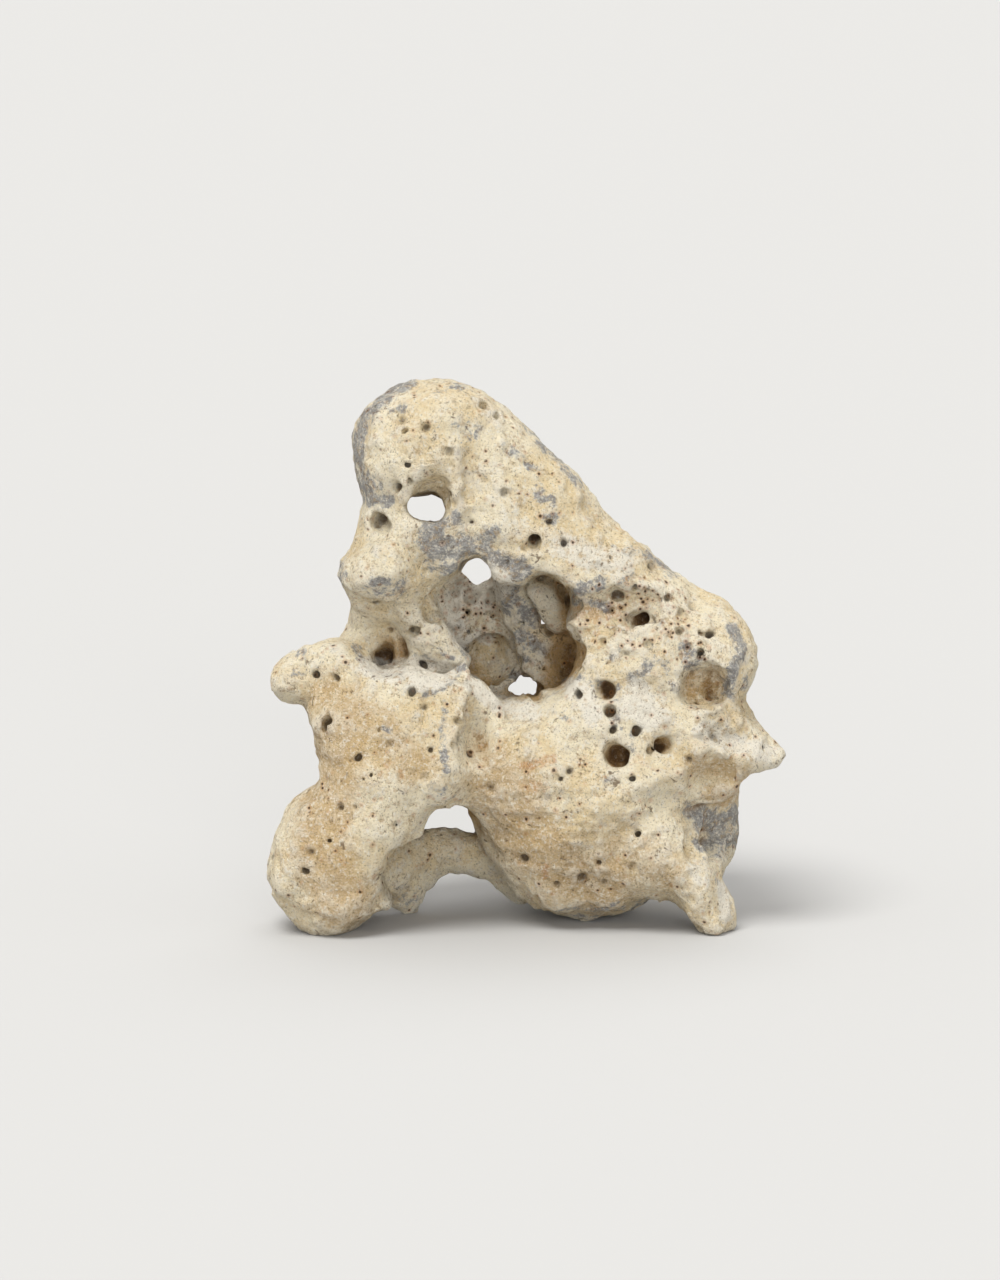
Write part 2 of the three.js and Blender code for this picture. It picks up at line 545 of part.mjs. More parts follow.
const geometry = new THREE.BufferGeometry()
  .setAttribute("position", new THREE.BufferAttribute(worn.vertProperties, 3))
  .setIndex(new THREE.BufferAttribute(worn.triVerts, 1));
geometry.computeBoundingBox();
const middle = geometry.boundingBox.getCenter(new THREE.Vector3());
geometry.translate(-middle.x, -middle.y, -geometry.boundingBox.min.z);
geometry.computeVertexNormals();

const rock = new THREE.Mesh(geometry, new THREE.MeshStandardMaterial(STONE));
rock.name = "limestone_rock";

export default new THREE.Group().add(rock);
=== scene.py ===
# %% [markdown]
# # A holey limestone rock
#
# The real thing is one pale stone, a little taller than a hand is long. Rain, roots and small sea animals
# have dissolved and bored it for thousands of years, so it has soft lobes, a window that one can look
# through, low arches at its feet, and hundreds of round holes of every size.
#
# A solid of the stone already stands in the frame, with few faces, for weighing and for touching. This
# lesson draws the same stone again with the detail that the eye sees, gives it a finish, and sets it on a
# pale floor. First comes the frame, and the solid's box.

# %% The frame
import math
import time

import bmesh
import bpy
import numpy as np
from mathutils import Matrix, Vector


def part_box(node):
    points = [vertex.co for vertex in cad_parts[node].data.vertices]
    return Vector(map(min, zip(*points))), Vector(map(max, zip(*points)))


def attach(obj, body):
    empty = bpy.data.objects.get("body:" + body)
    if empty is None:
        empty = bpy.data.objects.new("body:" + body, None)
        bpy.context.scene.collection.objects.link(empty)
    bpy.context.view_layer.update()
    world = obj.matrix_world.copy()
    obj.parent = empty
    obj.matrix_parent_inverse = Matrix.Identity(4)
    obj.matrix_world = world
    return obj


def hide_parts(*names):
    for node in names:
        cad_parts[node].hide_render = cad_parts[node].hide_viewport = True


MM = 0.001
NODE = "limestone_rock"

started = time.perf_counter()
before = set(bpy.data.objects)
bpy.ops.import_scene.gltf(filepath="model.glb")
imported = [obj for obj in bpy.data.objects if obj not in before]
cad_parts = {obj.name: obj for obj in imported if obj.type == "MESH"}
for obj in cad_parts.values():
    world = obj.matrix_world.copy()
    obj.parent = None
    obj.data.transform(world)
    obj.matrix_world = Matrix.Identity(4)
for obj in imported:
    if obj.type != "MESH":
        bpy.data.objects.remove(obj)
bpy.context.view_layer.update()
solid_low, solid_high = (np.array(corner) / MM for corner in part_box(NODE))
print("the solid spans", np.round(solid_high - solid_low, 1), "mm")

# %% [markdown]
# ## Noise that is the same every time
#
# Stone is never regular. A lattice of pseudo-random numbers, smoothed in between, gives a value that
# wanders slowly through space. The numbers come from whole-number arithmetic on the place itself, so there
# is no seed to forget and the stone is the same at each run. Everything below works on whole arrays of
# places at once.

# %% Noise


def lattice_number(i, j, k, seed):
    """A pseudo-random number from -1 to 1 at each whole point: its place times odd numbers, folded."""
    whole = np.uint32
    h = i.astype(whole) * whole(374761393) + j.astype(whole) * whole(668265263)
    h = h + k.astype(whole) * whole(2246822519) + whole(seed * 3266489917 % 2**32)
    h = (h ^ (h >> whole(15))) * whole(2246822519)
    h = (h ^ (h >> whole(13))) * whole(3266489917)
    h = h ^ (h >> whole(16))
    return (h & whole(0xFFFF)).astype(np.float32) / 32767.5 - 1


def blend_between(a, b, t):
    """The value t of the way from a to b."""
    return a + (b - a) * t


def noise(places, size, seed):
    """The lattice numbers of cells of that size, joined along each axis by the curve 6t^5 - 15t^4 + 10t^3."""
    scaled = [axis / size for axis in places]
    floors = [np.floor(axis) for axis in scaled]
    x, y, z = (t * t * t * (t * (6 * t - 15) + 10) for t in (s - f for s, f in zip(scaled, floors)))
    i, j, k = (f.astype(np.int64) for f in floors)

    def edge(a, b):
        near = lattice_number(i + a, j + b, k, seed)
        far = lattice_number(i + a, j + b, k + 1, seed)
        return blend_between(near, far, z)

    left = blend_between(edge(0, 0), edge(0, 1), y)
    right = blend_between(edge(1, 0), edge(1, 1), y)
    return blend_between(left, right, x)


# %% [markdown]
# ## The stone as a field
#
# A stone like this has no profile to turn and no outline to extrude. It can be thought of as a field
# instead: a number for each place, below zero in the rock, above zero in the air, and close to the distance
# from the surface. Two lumps melt together when the smaller of their two numbers is taken, rounded off
# where they are nearly equal. A hollow is taken out by turning its sign and taking the larger number. This
# way was chosen because water works in the same manner: it rounds what stands out and joins what lies
# close.
#
# Two forms are enough. A bone is a chain of balls of different radii with the space between them filled. An
# egg is a ball with three radii.

# %% Forms


def soft_min(a, b, k):
    """The smaller value, less a quarter of k times the square of how nearly equal the two are."""
    return np.minimum(a, b) - np.maximum(k - np.abs(a - b), 0) ** 2 * (0.25 / k)


def soft_max(a, b, k):
    """The larger value, rounded off in the same way."""
    return -soft_min(-a, -b, k)


def bone(blend, *points):
    """A chain of points (x, y, z, radius). The first number is how softly it melts in."""
    return {"blend": blend, "points": points}


def egg(blend, at, radii):
    """An ellipsoid: its middle and three radii. The first number is how softly it melts in."""
    return {"blend": blend, "at": at, "radii": radii}


def bone_distance(points, places):
    """The nearest of the distances from each link's axis, less the radius there."""
    x, y, z = places
    nearest = None
    for (ax, ay, az, ar), (bx, by, bz, br) in zip(points, points[1:]):
        dx, dy, dz = bx - ax, by - ay, bz - az
        along = ((x - ax) * dx + (y - ay) * dy + (z - az) * dz) / (dx * dx + dy * dy + dz * dz)
        t = np.clip(along, 0, 1)
        away = np.sqrt((x - ax - t * dx) ** 2 + (y - ay - t * dy) ** 2 + (z - az - t * dz) ** 2)
        link = away - (ar + t * (br - ar))
        nearest = link if nearest is None else np.minimum(nearest, link)
    return nearest


def egg_distance(at, radii, places):
    """With the place over the radii s long, and over their squares q long, it is s times (s - 1) over q."""
    from_middle = [axis - middle for axis, middle in zip(places, at)]
    once = np.sqrt(sum((p / r) ** 2 for p, r in zip(from_middle, radii))) + 1e-6
    twice = np.sqrt(sum((p / r**2) ** 2 for p, r in zip(from_middle, radii))) + 1e-9
    return once * (once - 1) / twice


def distance(form, places):
    """Distance from the surface of a bone or an egg, negative inside it."""
    if "points" in form:
        return bone_distance(form["points"], places)
    return egg_distance(form["at"], form["radii"], places)


def reach_of(form):
    """The middle and radius of a ball that holds the form."""
    balls = np.array(form.get("points") or [(*form["at"], max(form["radii"]))], float)
    middle = (balls[:, :3].min(0) + balls[:, :3].max(0)) / 2
    return middle, float(np.max(np.linalg.norm(balls[:, :3] - middle, axis=1) + balls[:, 3]))


# %% [markdown]
# ## The outline and the forms
#
# The front was drawn from the picture, looking down on it by nine degrees, so the outline's points are how
# far across and how far up they lie in that view. Then come the masses, the ways through, what shows inside
# the window, and the hollows, all in millimetres. They are the same forms as the plain solid's.

# %% Outline and forms
LOOK_DOWN = math.radians(9)
# The front outline, [across, up], clockwise from the left of the crown. Where the stone meets the ground it
# runs below.
OUTLINE = [
    (-57, 211), (-47, 215), (-35, 217), (-23, 215), (-11, 208), (-4, 200), (4, 192), (12, 184), (20, 176),
    (26, 168), (31, 160), (39, 152), (51, 144), (61, 136), (69, 131), (79, 126), (87, 118), (91, 110),
    (91, 101), (87, 92), (85, 88), (88, 83), (93, 77), (99, 71), (102, 66), (99, 61), (93, 58), (87, 56),
    (85, 50), (85, 40), (83, 30), (80, 19), (81, 12), (82, 4), (81, -4), (75, -9), (69, -6), (64, 3),
    (60, 8), (54, 10), (48, 6), (35, 0), (17, -2), (5, 1), (-1, 6), (-7, 12), (-15, 18), (-23, 20),
    (-33, 19), (-40, 15), (-43, 9), (-46, 4), (-49, 1), (-54, 4), (-62, 3), (-72, -8), (-81, -10),
    (-90, -5), (-98, 3), (-103, 9), (-104, 18), (-102, 30), (-98, 42), (-94, 50), (-85, 56), (-82, 61),
    (-83, 68), (-85, 76), (-89, 84), (-99, 87), (-104, 93), (-104, 103), (-98, 108), (-89, 112),
    (-80, 114), (-74, 119), (-72, 126), (-76, 134), (-75, 144), (-70, 151), (-68, 160), (-66, 168),
    (-69, 178), (-71, 188), (-70, 198), (-66, 206),
]


MASSES = [
    # the crown, and the slab that falls away to the right
    egg(8, (-36, -2, 191), (38, 38, 30)),
    bone(8, (-34, -3, 184, 30), (2, -4, 166, 28), (38, 0, 139, 27), (68, 2, 112, 26)),
    bone(8, (-34, -10, 174, 26), (0, -12, 152, 24), (30, -12, 134, 24), (56, -10, 114, 24)),
    bone(8, (-52, 0, 186, 20), (-54, -4, 162, 19), (-58, -8, 142, 18)),
    egg(8, (-36, -6, 156), (28, 26, 16)),
    egg(4, (-59, -21, 142), (17, 15, 13)),
    bone(6, (-50, -15, 142, 13), (-40, -14, 146, 11)),
    # the right face, shoulder, column, horn and leg
    egg(8, (46, -10, 112), (34, 30, 30)),
    egg(8, (73, -6, 108), (21, 32, 24)),
    bone(8, (72, -6, 100, 22), (70, -8, 76, 22), (68, 0, 50, 20), (68, -4, 30, 18)),
    egg(8, (36, -14, 86), (40, 29, 26)),
    bone(8, (70, -18, 84, 19), (86, -20, 76, 14), (97, -23, 70.5, 8)),
    bone(4, (60, -35, 79, 7), (78, -34, 71, 6), (96, -27, 67, 5)),
    bone(6, (46, -26, 66, 18), (74, -28, 68, 13)),
    bone(8, (40, -24, 56, 20), (54, -26, 38, 14)),
    bone(8, (50, -20, 34, 20), (62, -22, 20, 18), (73, -29, 5, 12)),
    bone(8, (44, -26, 40, 16), (58, -31, 24, 12), (66, -33, 8, 10)),
    # the middle body, and the heel hidden behind it
    egg(8, (24, -2, 42), (46, 42, 42)),
    egg(8, (12, -16, 68), (40, 30, 28)),
    egg(8, (16, -24, 54), (34, 22, 30)),
    bone(8, (16, 26, 36, 26), (22, 30, 10, 16)),
    # the left lobe with its rim, seam and knob, and the left foot
    egg(8, (-60, -20, 78), (34, 30, 30)),
    egg(8, (-52, -26, 70), (27, 22, 26)),
    bone(8, (-46, -24, 66, 22), (-74, -24, 30, 26)),
    bone(8, (-62, -30, 64, 20), (-68, -29, 40, 22)),
    bone(
        5, (-86, -16, 104, 12), (-74, -26, 105, 9), (-62, -33, 99, 8),
        (-50, -35, 99, 8), (-38, -35, 96, 8), (-28, -34, 92, 8),
    ),
    bone(7, (-26, -34, 100, 6), (-30, -38, 84, 8), (-33, -40, 66, 9)),
    bone(6, (-80, -14, 101, 15), (-93, -16, 99, 13)),
    egg(8, (-78, -20, 28), (30, 32, 35)),
    bone(9, (-34, -20, 66, 20), (-6, -18, 60, 20)),
    egg(7, (-14, -16, 76), (20, 19, 14)),
    # the left wall above the lobe, and the masses at the back
    bone(8, (-58, 4, 140, 19), (-56, 10, 118, 20), (-62, 8, 98, 20)),
    bone(8, (-54, 20, 104, 24), (-58, 22, 76, 24), (-64, 10, 46, 22)),
    egg(8, (44, 30, 112), (38, 34, 32)),
    egg(8, (40, 32, 70), (42, 36, 36)),
    egg(8, (6, 42, 62), (40, 28, 28)),
    bone(8, (-14, 42, 84, 18), (-34, 38, 70, 18), (-46, 26, 50, 18)),
]

WAYS_THROUGH = [
    # the middle window, its cave to the right, and the way out at the back
    egg(4, (-12, -30, 118), (25, 42, 22)),
    bone(4, (-22, -60, 145, 7), (-22, 0, 134, 10.5)),
    bone(4, (6, -60, 139, 9), (7, 8, 126, 13)),
    bone(4, (9, -60, 113, 9), (8, 14, 104, 14)),
    bone(4, (-14, -10, 120, 18), (-16, 90, 122, 24)),
    # the dish on the left, above the lobe
    egg(4, (-58, -40, 118), (18, 31, 14.5)),
    # the low arch on the left, and the arches along the ground
    bone(4, (-31, -70, 44, 11), (-31, -20, 42.5, 10.5), (-35, 10, 40, 9), (-38, 80, 28, 18)),
    bone(5, (-41, -70, 22, 15), (-40, 0, 24, 16)),
    bone(8, (-29, -70, 24, 13), (-29, 0, 26, 12)),
    bone(4, (-24, -70, -3, 19), (-24, 70, -8, 20)),
    bone(3, (53, -70, -4, 8), (50, -16, -7, 10), (54, 60, -10, 18)),
    # the cavity under the horn and the hollow face above it, and the hollow between the left lobe and the
    # middle body
    bone(1.5, (63, -42, 47, 5), (76, -40, 50, 9.5), (98, -38, 53, 12)),
    bone(2, (69, -39, 38, 8), (98, -37, 51, 15)),
    bone(3, (74, -24, 37, 8), (104, -20, 49, 15)),
    egg(3, (73, -58, 66), (17, 23, 10)),
    egg(3, (-19, -50, 84), (8.5, 20, 16)),
]

INNER_FORMS = [
    # what shows in the window: the rear lobe, the septum, the small column, the tooth, and the webs beside
    # the dish
    bone(5, (-32, 49, 111, 17), (-20, 50, 103, 19), (-16, 48, 88, 16)),
    bone(4, (-31, 51, 119.5, 12.5), (-17, 51, 124.5, 11)),
    bone(5, (-3, 26, 138, 10), (-2, 28, 116, 7), (4, 26, 94, 9)),
    bone(2, (8, 14, 131, 6), (13, 18, 119, 5.5)),
    bone(6, (-46, -14, 128, 9), (-40, -12, 114, 9), (-30, -14, 105, 7)),
    bone(2, (-28, -33, 96, 6), (-25, -34, 110, 1.8)),
    bone(2, (-24, -31, 98, 4.5), (-11, -29, 88, 4.5)),
    # the strut behind the low arch, and its toe
    bone(5, (-62, 4, 22, 14), (-38, 12, 26, 8), (-20, 12, 25, 9), (-4, 10, 28, 13)),
    bone(5, (-52, 6, 16, 10), (-48, 9, 3, 3.5)),
    bone(4, (-49, 8, 10, 6), (-40, 11, 20, 6)),
    bone(4, (-16, 12, 22, 6), (-4, 10, 12, 7)),
]

HOLLOWS = [
    # the round way through the crown with its flare, and the ways out at the back of the window
    bone(2, (-44, -60, 174, 6), (-44, -20, 168, 6), (-44, 60, 156, 7)),
    bone(2, (-39, -60, 174, 6), (-39, -20, 168, 6), (-40, 60, 156, 7)),
    egg(4, (-38, -40, 174), (10, 14, 9)),
    bone(3, (-23, -60, 149, 5.5), (-22, 10, 139, 6.5), (-21, 70, 132, 10)),
    bone(1, (-8, -30, 97, 3), (-8, 0, 92, 3.4), (-7, 50, 85, 4), (-6, 90, 79, 10)),
    bone(1, (-3, -30, 98.5, 4), (-3, 0, 93.5, 4.4), (-3, 50, 85.5, 5), (-3, 90, 79, 10)),
    bone(1, (3, -30, 97, 3), (3, 0, 92, 3.4), (2, 50, 85, 4), (1, 90, 79, 10)),
    # the hollow of the rear lobe, the round hollow of the shoulder, and the grooves under the slab
    egg(1.5, (-16, 31, 100.5), (11, 16, 12)),
    egg(1, (-23, 41, 130), (6.5, 6, 4)),
    egg(1, (68, -39, 101), (12, 14, 10.5)),
    bone(2, (16, -38, 131, 7), (46, -36, 130, 6.5)),
    bone(1, (14, -35, 123.5, 3.2), (30, -34.5, 123.5, 3.6), (44, -32, 123.5, 4.5)),
]

# %% [markdown]
# ## A grid of field values
#
# The field is worked out on a grid of points a millimetre apart. Each form changes the field only near
# itself, so it is worked out in its own window of the grid, and everything far away is left alone. Slow
# changes, such as the wandering that bends the forms a little, are worked out on a coarse grid and
# stretched, because that is quicker.

# %% Grid
STEP = 1.0
LOW = np.array([-112.0, -66.0, -8.0])
HIGH = np.array([112.0, 84.0, 226.0])
FAR = 20.0
COUNT = np.ceil((HIGH - LOW) / STEP).astype(int) + 1


def window_around(middle, radius):
    """The slices of the grid that hold a ball, or None where they are empty."""
    first = np.clip(np.floor((middle - radius - LOW) / STEP).astype(int), 0, COUNT)
    last = np.clip(np.ceil((middle + radius - LOW) / STEP).astype(int) + 1, 0, COUNT)
    return tuple(slice(a, b) for a, b in zip(first, last)) if np.all(last > first) else None


def places_in(window):
    """The x, y and z of a window's points, each along its own axis of the array."""
    steps = [np.arange(part.start, part.stop, dtype=np.float32) for part in window]
    axes = [LOW[axis] + STEP * steps[axis] for axis in range(3)]
    return [a.astype(np.float32) for a in np.meshgrid(*axes, indexing="ij", sparse=True)]


WHOLE = tuple(slice(0, int(n)) for n in COUNT)


def stretched(values, times):
    """A coarse array with that many steps for each of its own, straight lines between its values."""
    for axis in range(3):
        place = np.arange((values.shape[axis] - 1) * times + 1) / times
        first = np.minimum(place.astype(int), values.shape[axis] - 2)
        share = (place - first).astype(np.float32)
        share = share.reshape([-1 if a == axis else 1 for a in range(3)])
        values = blend_between(np.take(values, first, axis), np.take(values, first + 1, axis), share)
    return values


def slowly(rule, size):
    """A rule worked out on points that far apart, and stretched over the whole grid."""
    times = max(1, round(size / STEP))
    axes = [LOW[a] + STEP * times * np.arange(-(-(COUNT[a] - 1) // times) + 2) for a in range(3)]
    coarse = rule(np.meshgrid(*axes, indexing="ij")).astype(np.float32)
    return stretched(coarse, times)[tuple(slice(0, n) for n in COUNT)]


print("the grid has", " x ".join(str(n) for n in COUNT), "points")

# %% [markdown]
# ## The outline that trims the front
#
# A smooth curve runs through the outline's points. Its distance is kept on a flat table of across and up,
# and any place in space looks itself up there. The trim is a hollow as long as the view is deep, rounded
# where it meets the masses, so that it shapes the edge without a hard corner.

# %% Outline
TABLE_LOW = np.array([-130.0, -45.0])
TABLE_COUNT = (261, 291)
CURVE_STEPS = 4


def smooth_closed(points):
    """A curve through the points: each stretch is a cubic whose ends point along the neighbours' chords."""
    p1 = np.array(points, float)
    p0, p2, p3 = np.roll(p1, 1, 0), np.roll(p1, -1, 0), np.roll(p1, -2, 0)
    t = np.linspace(0, 1, CURVE_STEPS, endpoint=False)[None, :, None]
    p0, p1, p2, p3 = (p[:, None, :] for p in (p0, p1, p2, p3))
    bend = 2 * p0 - 5 * p1 + 4 * p2 - p3
    twist = 3 * p1 - p0 - 3 * p2 + p3
    return (0.5 * (2 * p1 + (p2 - p0) * t + bend * t**2 + twist * t**3)).reshape(-1, 2)


def outline_table():
    """Distance from the curve at each point of the table, negative inside, where a level ray crosses the curve
    an odd number of times."""
    across, up = (TABLE_LOW[a] + np.arange(TABLE_COUNT[a]) for a in (0, 1))
    across, up = np.meshgrid(across, up, indexing="ij")
    nearest = np.full(across.shape, 1e9)
    inside = np.zeros(across.shape, bool)
    curve = smooth_closed(OUTLINE)
    for (ax, ay), (bx, by) in zip(curve, np.roll(curve, -1, 0)):
        dx, dy = bx - ax, by - ay
        t = np.clip(((across - ax) * dx + (up - ay) * dy) / (dx * dx + dy * dy), 0, 1)
        nearest = np.minimum(nearest, np.hypot(across - ax - t * dx, up - ay - t * dy))
        inside ^= ((ay > up) != (by > up)) & (across < dx * (up - ay) / (by - ay + 1e-12) + ax)
    return np.where(inside, -nearest, nearest).astype(np.float32)


def between_cells(table, low, step, places):
    """The table's value at places between its points, in straight lines along each axis in turn."""
    scaled = [np.clip((p - l) / step, 0, n - 1.001) for p, l, n in zip(places, low, table.shape)]
    scaled = np.broadcast_arrays(*scaled)
    first = [s.astype(int) for s in scaled]
    share = [(s - f).astype(np.float32) for s, f in zip(scaled, first)]

    def value(corner, axis):
        if axis == len(first):
            return table[tuple(f + c for f, c in zip(first, corner))]
        return blend_between(value([*corner, 0], axis + 1), value([*corner, 1], axis + 1), share[axis])

    return value([], 0)


OUTLINE_DISTANCE = outline_table()


def up_in_view(places):
    """How far up a place lies as the front is seen: z and y, tilted by the look down."""
    return places[1] * math.sin(LOOK_DOWN) + places[2] * math.cos(LOOK_DOWN)


def trim(places):
    """Distance from the outline, moved out by what its rounding takes off."""
    seen = (places[0], up_in_view(places))
    return between_cells(OUTLINE_DISTANCE, TABLE_LOW, 1.0, seen) - OUTLINE_GROW


print("the outline runs through", len(OUTLINE), "points")

# %% [markdown]
# ## The stone before its borings
#
# Now the forms are put together in the order of the stone's own history: masses, the outline's trim, the
# ways through, what stands inside them, and the hollows. The places are moved a little first, by a slow
# noise, so that no lump keeps the shape of a true egg.

# %% Stone without borings
OUTLINE_ROUND = 12
OUTLINE_GROW = 0.9
WANDER = 2.6
WANDER_SIZE = 26
RELIEF = 1.1
RELIEF_SIZE = 11
FORM_MARGIN = 14


def wander(places, seed):
    """A slow noise of WANDER millimetres, with one of half its size on it."""
    fine = noise(places, WANDER_SIZE * 0.43, seed + 10)
    return WANDER * (noise(places, WANDER_SIZE, seed) + 0.45 * fine)


def relief(places):
    """The low swells of the weathered skin."""
    return RELIEF * noise(places, RELIEF_SIZE, 21)


def join(field, form_distance, blend):
    return soft_min(field, form_distance, blend)


def take_out(field, form_distance, blend):
    return soft_max(field, -form_distance, blend)


def trimmed(field, places):
    return soft_max(field, trim(places), OUTLINE_ROUND)


STAGES = [(MASSES, join), (None, None), (WAYS_THROUGH, take_out), (INNER_FORMS, join), (HOLLOWS, take_out)]


def stone_at(places):
    """The field at any places, form by form. It is slow, and right for a few thousand of them."""
    moved = [axis + wander(places, seed) for seed, axis in zip((1, 2, 3), places)]
    field = np.full(np.shape(places[0]), FAR)
    for forms, change in STAGES:
        if forms is None:
            field = trimmed(field, places)
            continue
        for form in forms:
            field = change(field, distance(form, moved), form["blend"])
    return field + relief(places)


def stone_on_grid():
    """The same field on the whole grid, each form in its own window."""
    moves = [slowly(lambda places, s=seed: wander(places, s), 4) for seed in (1, 2, 3)]
    field = np.full(COUNT, FAR, np.float32)
    for forms, change in STAGES:
        if forms is None:
            field = trimmed(field, places_in(WHOLE)).astype(np.float32)
            continue
        for form in forms:
            middle, radius = reach_of(form)
            window = window_around(middle, radius + FORM_MARGIN)
            moved = [axis + move[window] for axis, move in zip(places_in(window), moves)]
            field[window] = change(field[window], distance(form, moved), form["blend"])
    return field + slowly(relief, 2)


field = stone_on_grid()
volume = np.count_nonzero(field < 0) * STEP**3 / 1000
print("the stone before its borings:", round(volume), "cubic centimetres")

# %% [markdown]
# ## Borings
#
# Clams and worms have drilled straight, round holes with a slightly wider mouth. Each one is placed as it
# is seen from a side, and a line of sight finds where it enters the stone. The larger ones are also in the
# plain solid. The small ones are only here.

# %% Borings
BORING_EDGE = 1
SIGHT_FROM, SIGHT_TO, SIGHT_STEP = -260, 160, 0.5
SIN, COS = math.sin(LOOK_DOWN), math.cos(LOOK_DOWN)
# For each side: across and up in its view, and the way into the stone.
SIDES = {
    "front": ((1, 0, 0), (0, SIN, COS), (0, COS, -SIN)),
    "back": ((1, 0, 0), (0, 0, 1), (0, -1, 0)),
    "left": ((0, 1, 0), (0, 0, 1), (1, 0, 0)),
    "right": ((0, 1, 0), (0, 0, 1), (-1, 0, 0)),
    "top": ((1, 0, 0), (0, 1, 0), (0, 0, -1)),
}
# A boring is the side it is seen from, its mouth across and up in that side's view, its radius and depth,
# and how far it leans across and up as it goes in.
BORINGS = [
    ("front", -59, 158, 4, 9, 0, 0.2),
    ("front", -52, 172, 2.5, 6, 0.3, 0),
    ("front", 2, 150, 2.8, 10, 0, 0.5),
    ("front", -18, 204, 2, 4, 0.2, 0),
    ("front", -57, 105, 4.4, 14, 0, 0),
    ("front", -79, 80, 2.5, 8, 0, -0.4),
    ("front", 34, 67, 5, 12, 0.2, -0.2),
    ("front", 41, 57, 1.8, 5, 0, 0),
    ("front", 54, 71, 2.6, 12, -0.6, -0.2),
    ("front", 71, 113, 2.5, 8, 0, 0),
    ("front", 34, 129, 2, 6, 0.2, 0),
    ("front", 44, 119, 3.4, 8, 0.5, 0),
    ("front", 29, 92, 3.2, 7, 0.3, 0),
    ("front", 32, 84, 2, 6, 0, -0.3),
    ("front", -38, 122, 3.4, 8, 0.3, -0.3),
    ("front", -45, 115, 2.2, 5, 0, 0),
    ("front", -23, 129, 3, 6, 0, 0),
    ("front", 21, 17, 1.8, 4, 0, 0),
    ("left", -14, 102, 2.6, 5, 0, 0),
    ("back", -52, 84, 5, 14, 0.2, 0),
    ("back", -66, 60, 3, 9, 0, 0.2),
    ("back", -30, 186, 4, 12, 0, -0.2),
    ("back", 6, 160, 3, 10, 0.2, 0),
    ("back", 30, 132, 6, 16, 0, 0.2),
    ("back", 66, 118, 3, 10, 0, 0),
    ("back", 44, 92, 4, 14, -0.3, 0),
    ("back", 20, 60, 7, 18, 0, 0.2),
    ("back", 58, 60, 3, 10, 0.2, 0.2),
    ("back", -2, 40, 3.4, 10, 0, 0),
    ("back", 46, 34, 2.6, 8, 0, 0),
    ("right", 10, 118, 3.2, 9, 0, 0),
    ("right", 24, 84, 5, 14, 0, 0.1),
    ("right", 30, 52, 3, 9, 0, 0),
    ("left", 10, 184, 3.4, 10, 0, 0),
    ("left", 14, 96, 5, 12, 0, 0),
    ("left", -8, 34, 2.6, 7, 0, 0),
    ("left", 8, 60, 3.4, 9, 0, 0.2),
    ("top", -26, 14, 3.2, 9, 0, 0),
    ("top", 30, 12, 2.8, 8, 0, 0),
]

# The same for the small borings that are not in the plain solid.
SMALL_BORINGS = [
    # the crown and the slab
    ("front", -50, 198, 1.5, 3, 0, 0),
    ("front", -13, 200, 1.2, 3, 0, 0),
    ("front", -31, 186, 1.4, 3, 0, 0),
    ("front", -30, 180, 1.0, 3, 0, 0),
    ("front", -23, 158, 1.2, 3, 0.4, 0),
    ("front", 8, 158, 1.2, 4, 0, 0),
    ("front", -9, 142, 1.2, 3, 0, 0),
    ("front", 14, 150, 1.3, 4, 0, 0),
    ("front", 32, 144, 1.2, 3, 0, 0),
    # the right face and the shoulder
    ("front", 48, 141, 1.4, 4, 0, 0),
    ("front", 60, 138, 1.4, 4, 0, 0),
    ("front", 61, 121, 1.6, 4, 0, 0),
    ("front", 65, 125, 1.2, 3, 0, 0),
    ("front", 80, 119, 1.0, 3, 0, 0),
    ("front", 68, 107, 1.6, 5, 0, 0),
    ("front", 19, 90, 1.6, 5, 0.3, 0.2),
    ("front", 33, 76, 1.5, 4, 0, 0),
    ("front", 42, 75, 1.6, 5, 0, 0),
    ("front", 47, 68, 1.4, 4, 0, 0),
    # the middle body
    ("front", 12, 57, 1.6, 4, 0.3, 0),
    ("front", 16, 60, 1.4, 4, 0, 0),
    ("front", -10, 88, 1.6, 3, 0, 0),
    ("front", 28, 24, 1.3, 3, 0, 0),
    ("front", 43, 35, 1.4, 4, 0, 0),
    ("front", -2, 25, 1.6, 4, 0, 0),
    # the left lobe
    ("front", -62, 58.5, 1.2, 3, 0, 0),
    ("front", -65, 57, 1.0, 3, 0, 0),
    ("front", -68, 46, 1.2, 4, 0.6, 0),
    ("front", -59, 76, 1.1, 3, 0, 0),
    ("front", -46, 91, 1.7, 4, 0, 0.3),
    ("front", -49, 97, 1.5, 4, 0, 0.3),
    ("front", -39, 68, 1.2, 3, 0, 0),
    ("front", -28, 80, 1.8, 4, 0.2, 0),
    ("front", -27, 73, 1.4, 4, 0, 0),
    ("front", -84, 98, 1.6, 3, 0, 0),
    ("front", -76, 97, 1.2, 3, 0, 0),
    # the rear lobe and the column in the window
    ("front", -30, 124, 1.4, 3, 0, 0),
    ("front", -24, 123, 1.4, 3, 0, 0),
    ("front", -18, 122, 1.3, 3, 0, 0),
    ("front", 6, 100, 1.5, 4, 0, 0),
]

# Spots of the honeycomb, where small pits lie side by side: a middle and a radius.
COMB_SPOTS = [
    (40, -40, 130, 17),
    (52, -36, 128, 17),
    (26, -42, 126, 14),
    (-22, 40, 122, 16),
    (-14, 42, 116, 14),
    (64, -34, 116, 9),
]


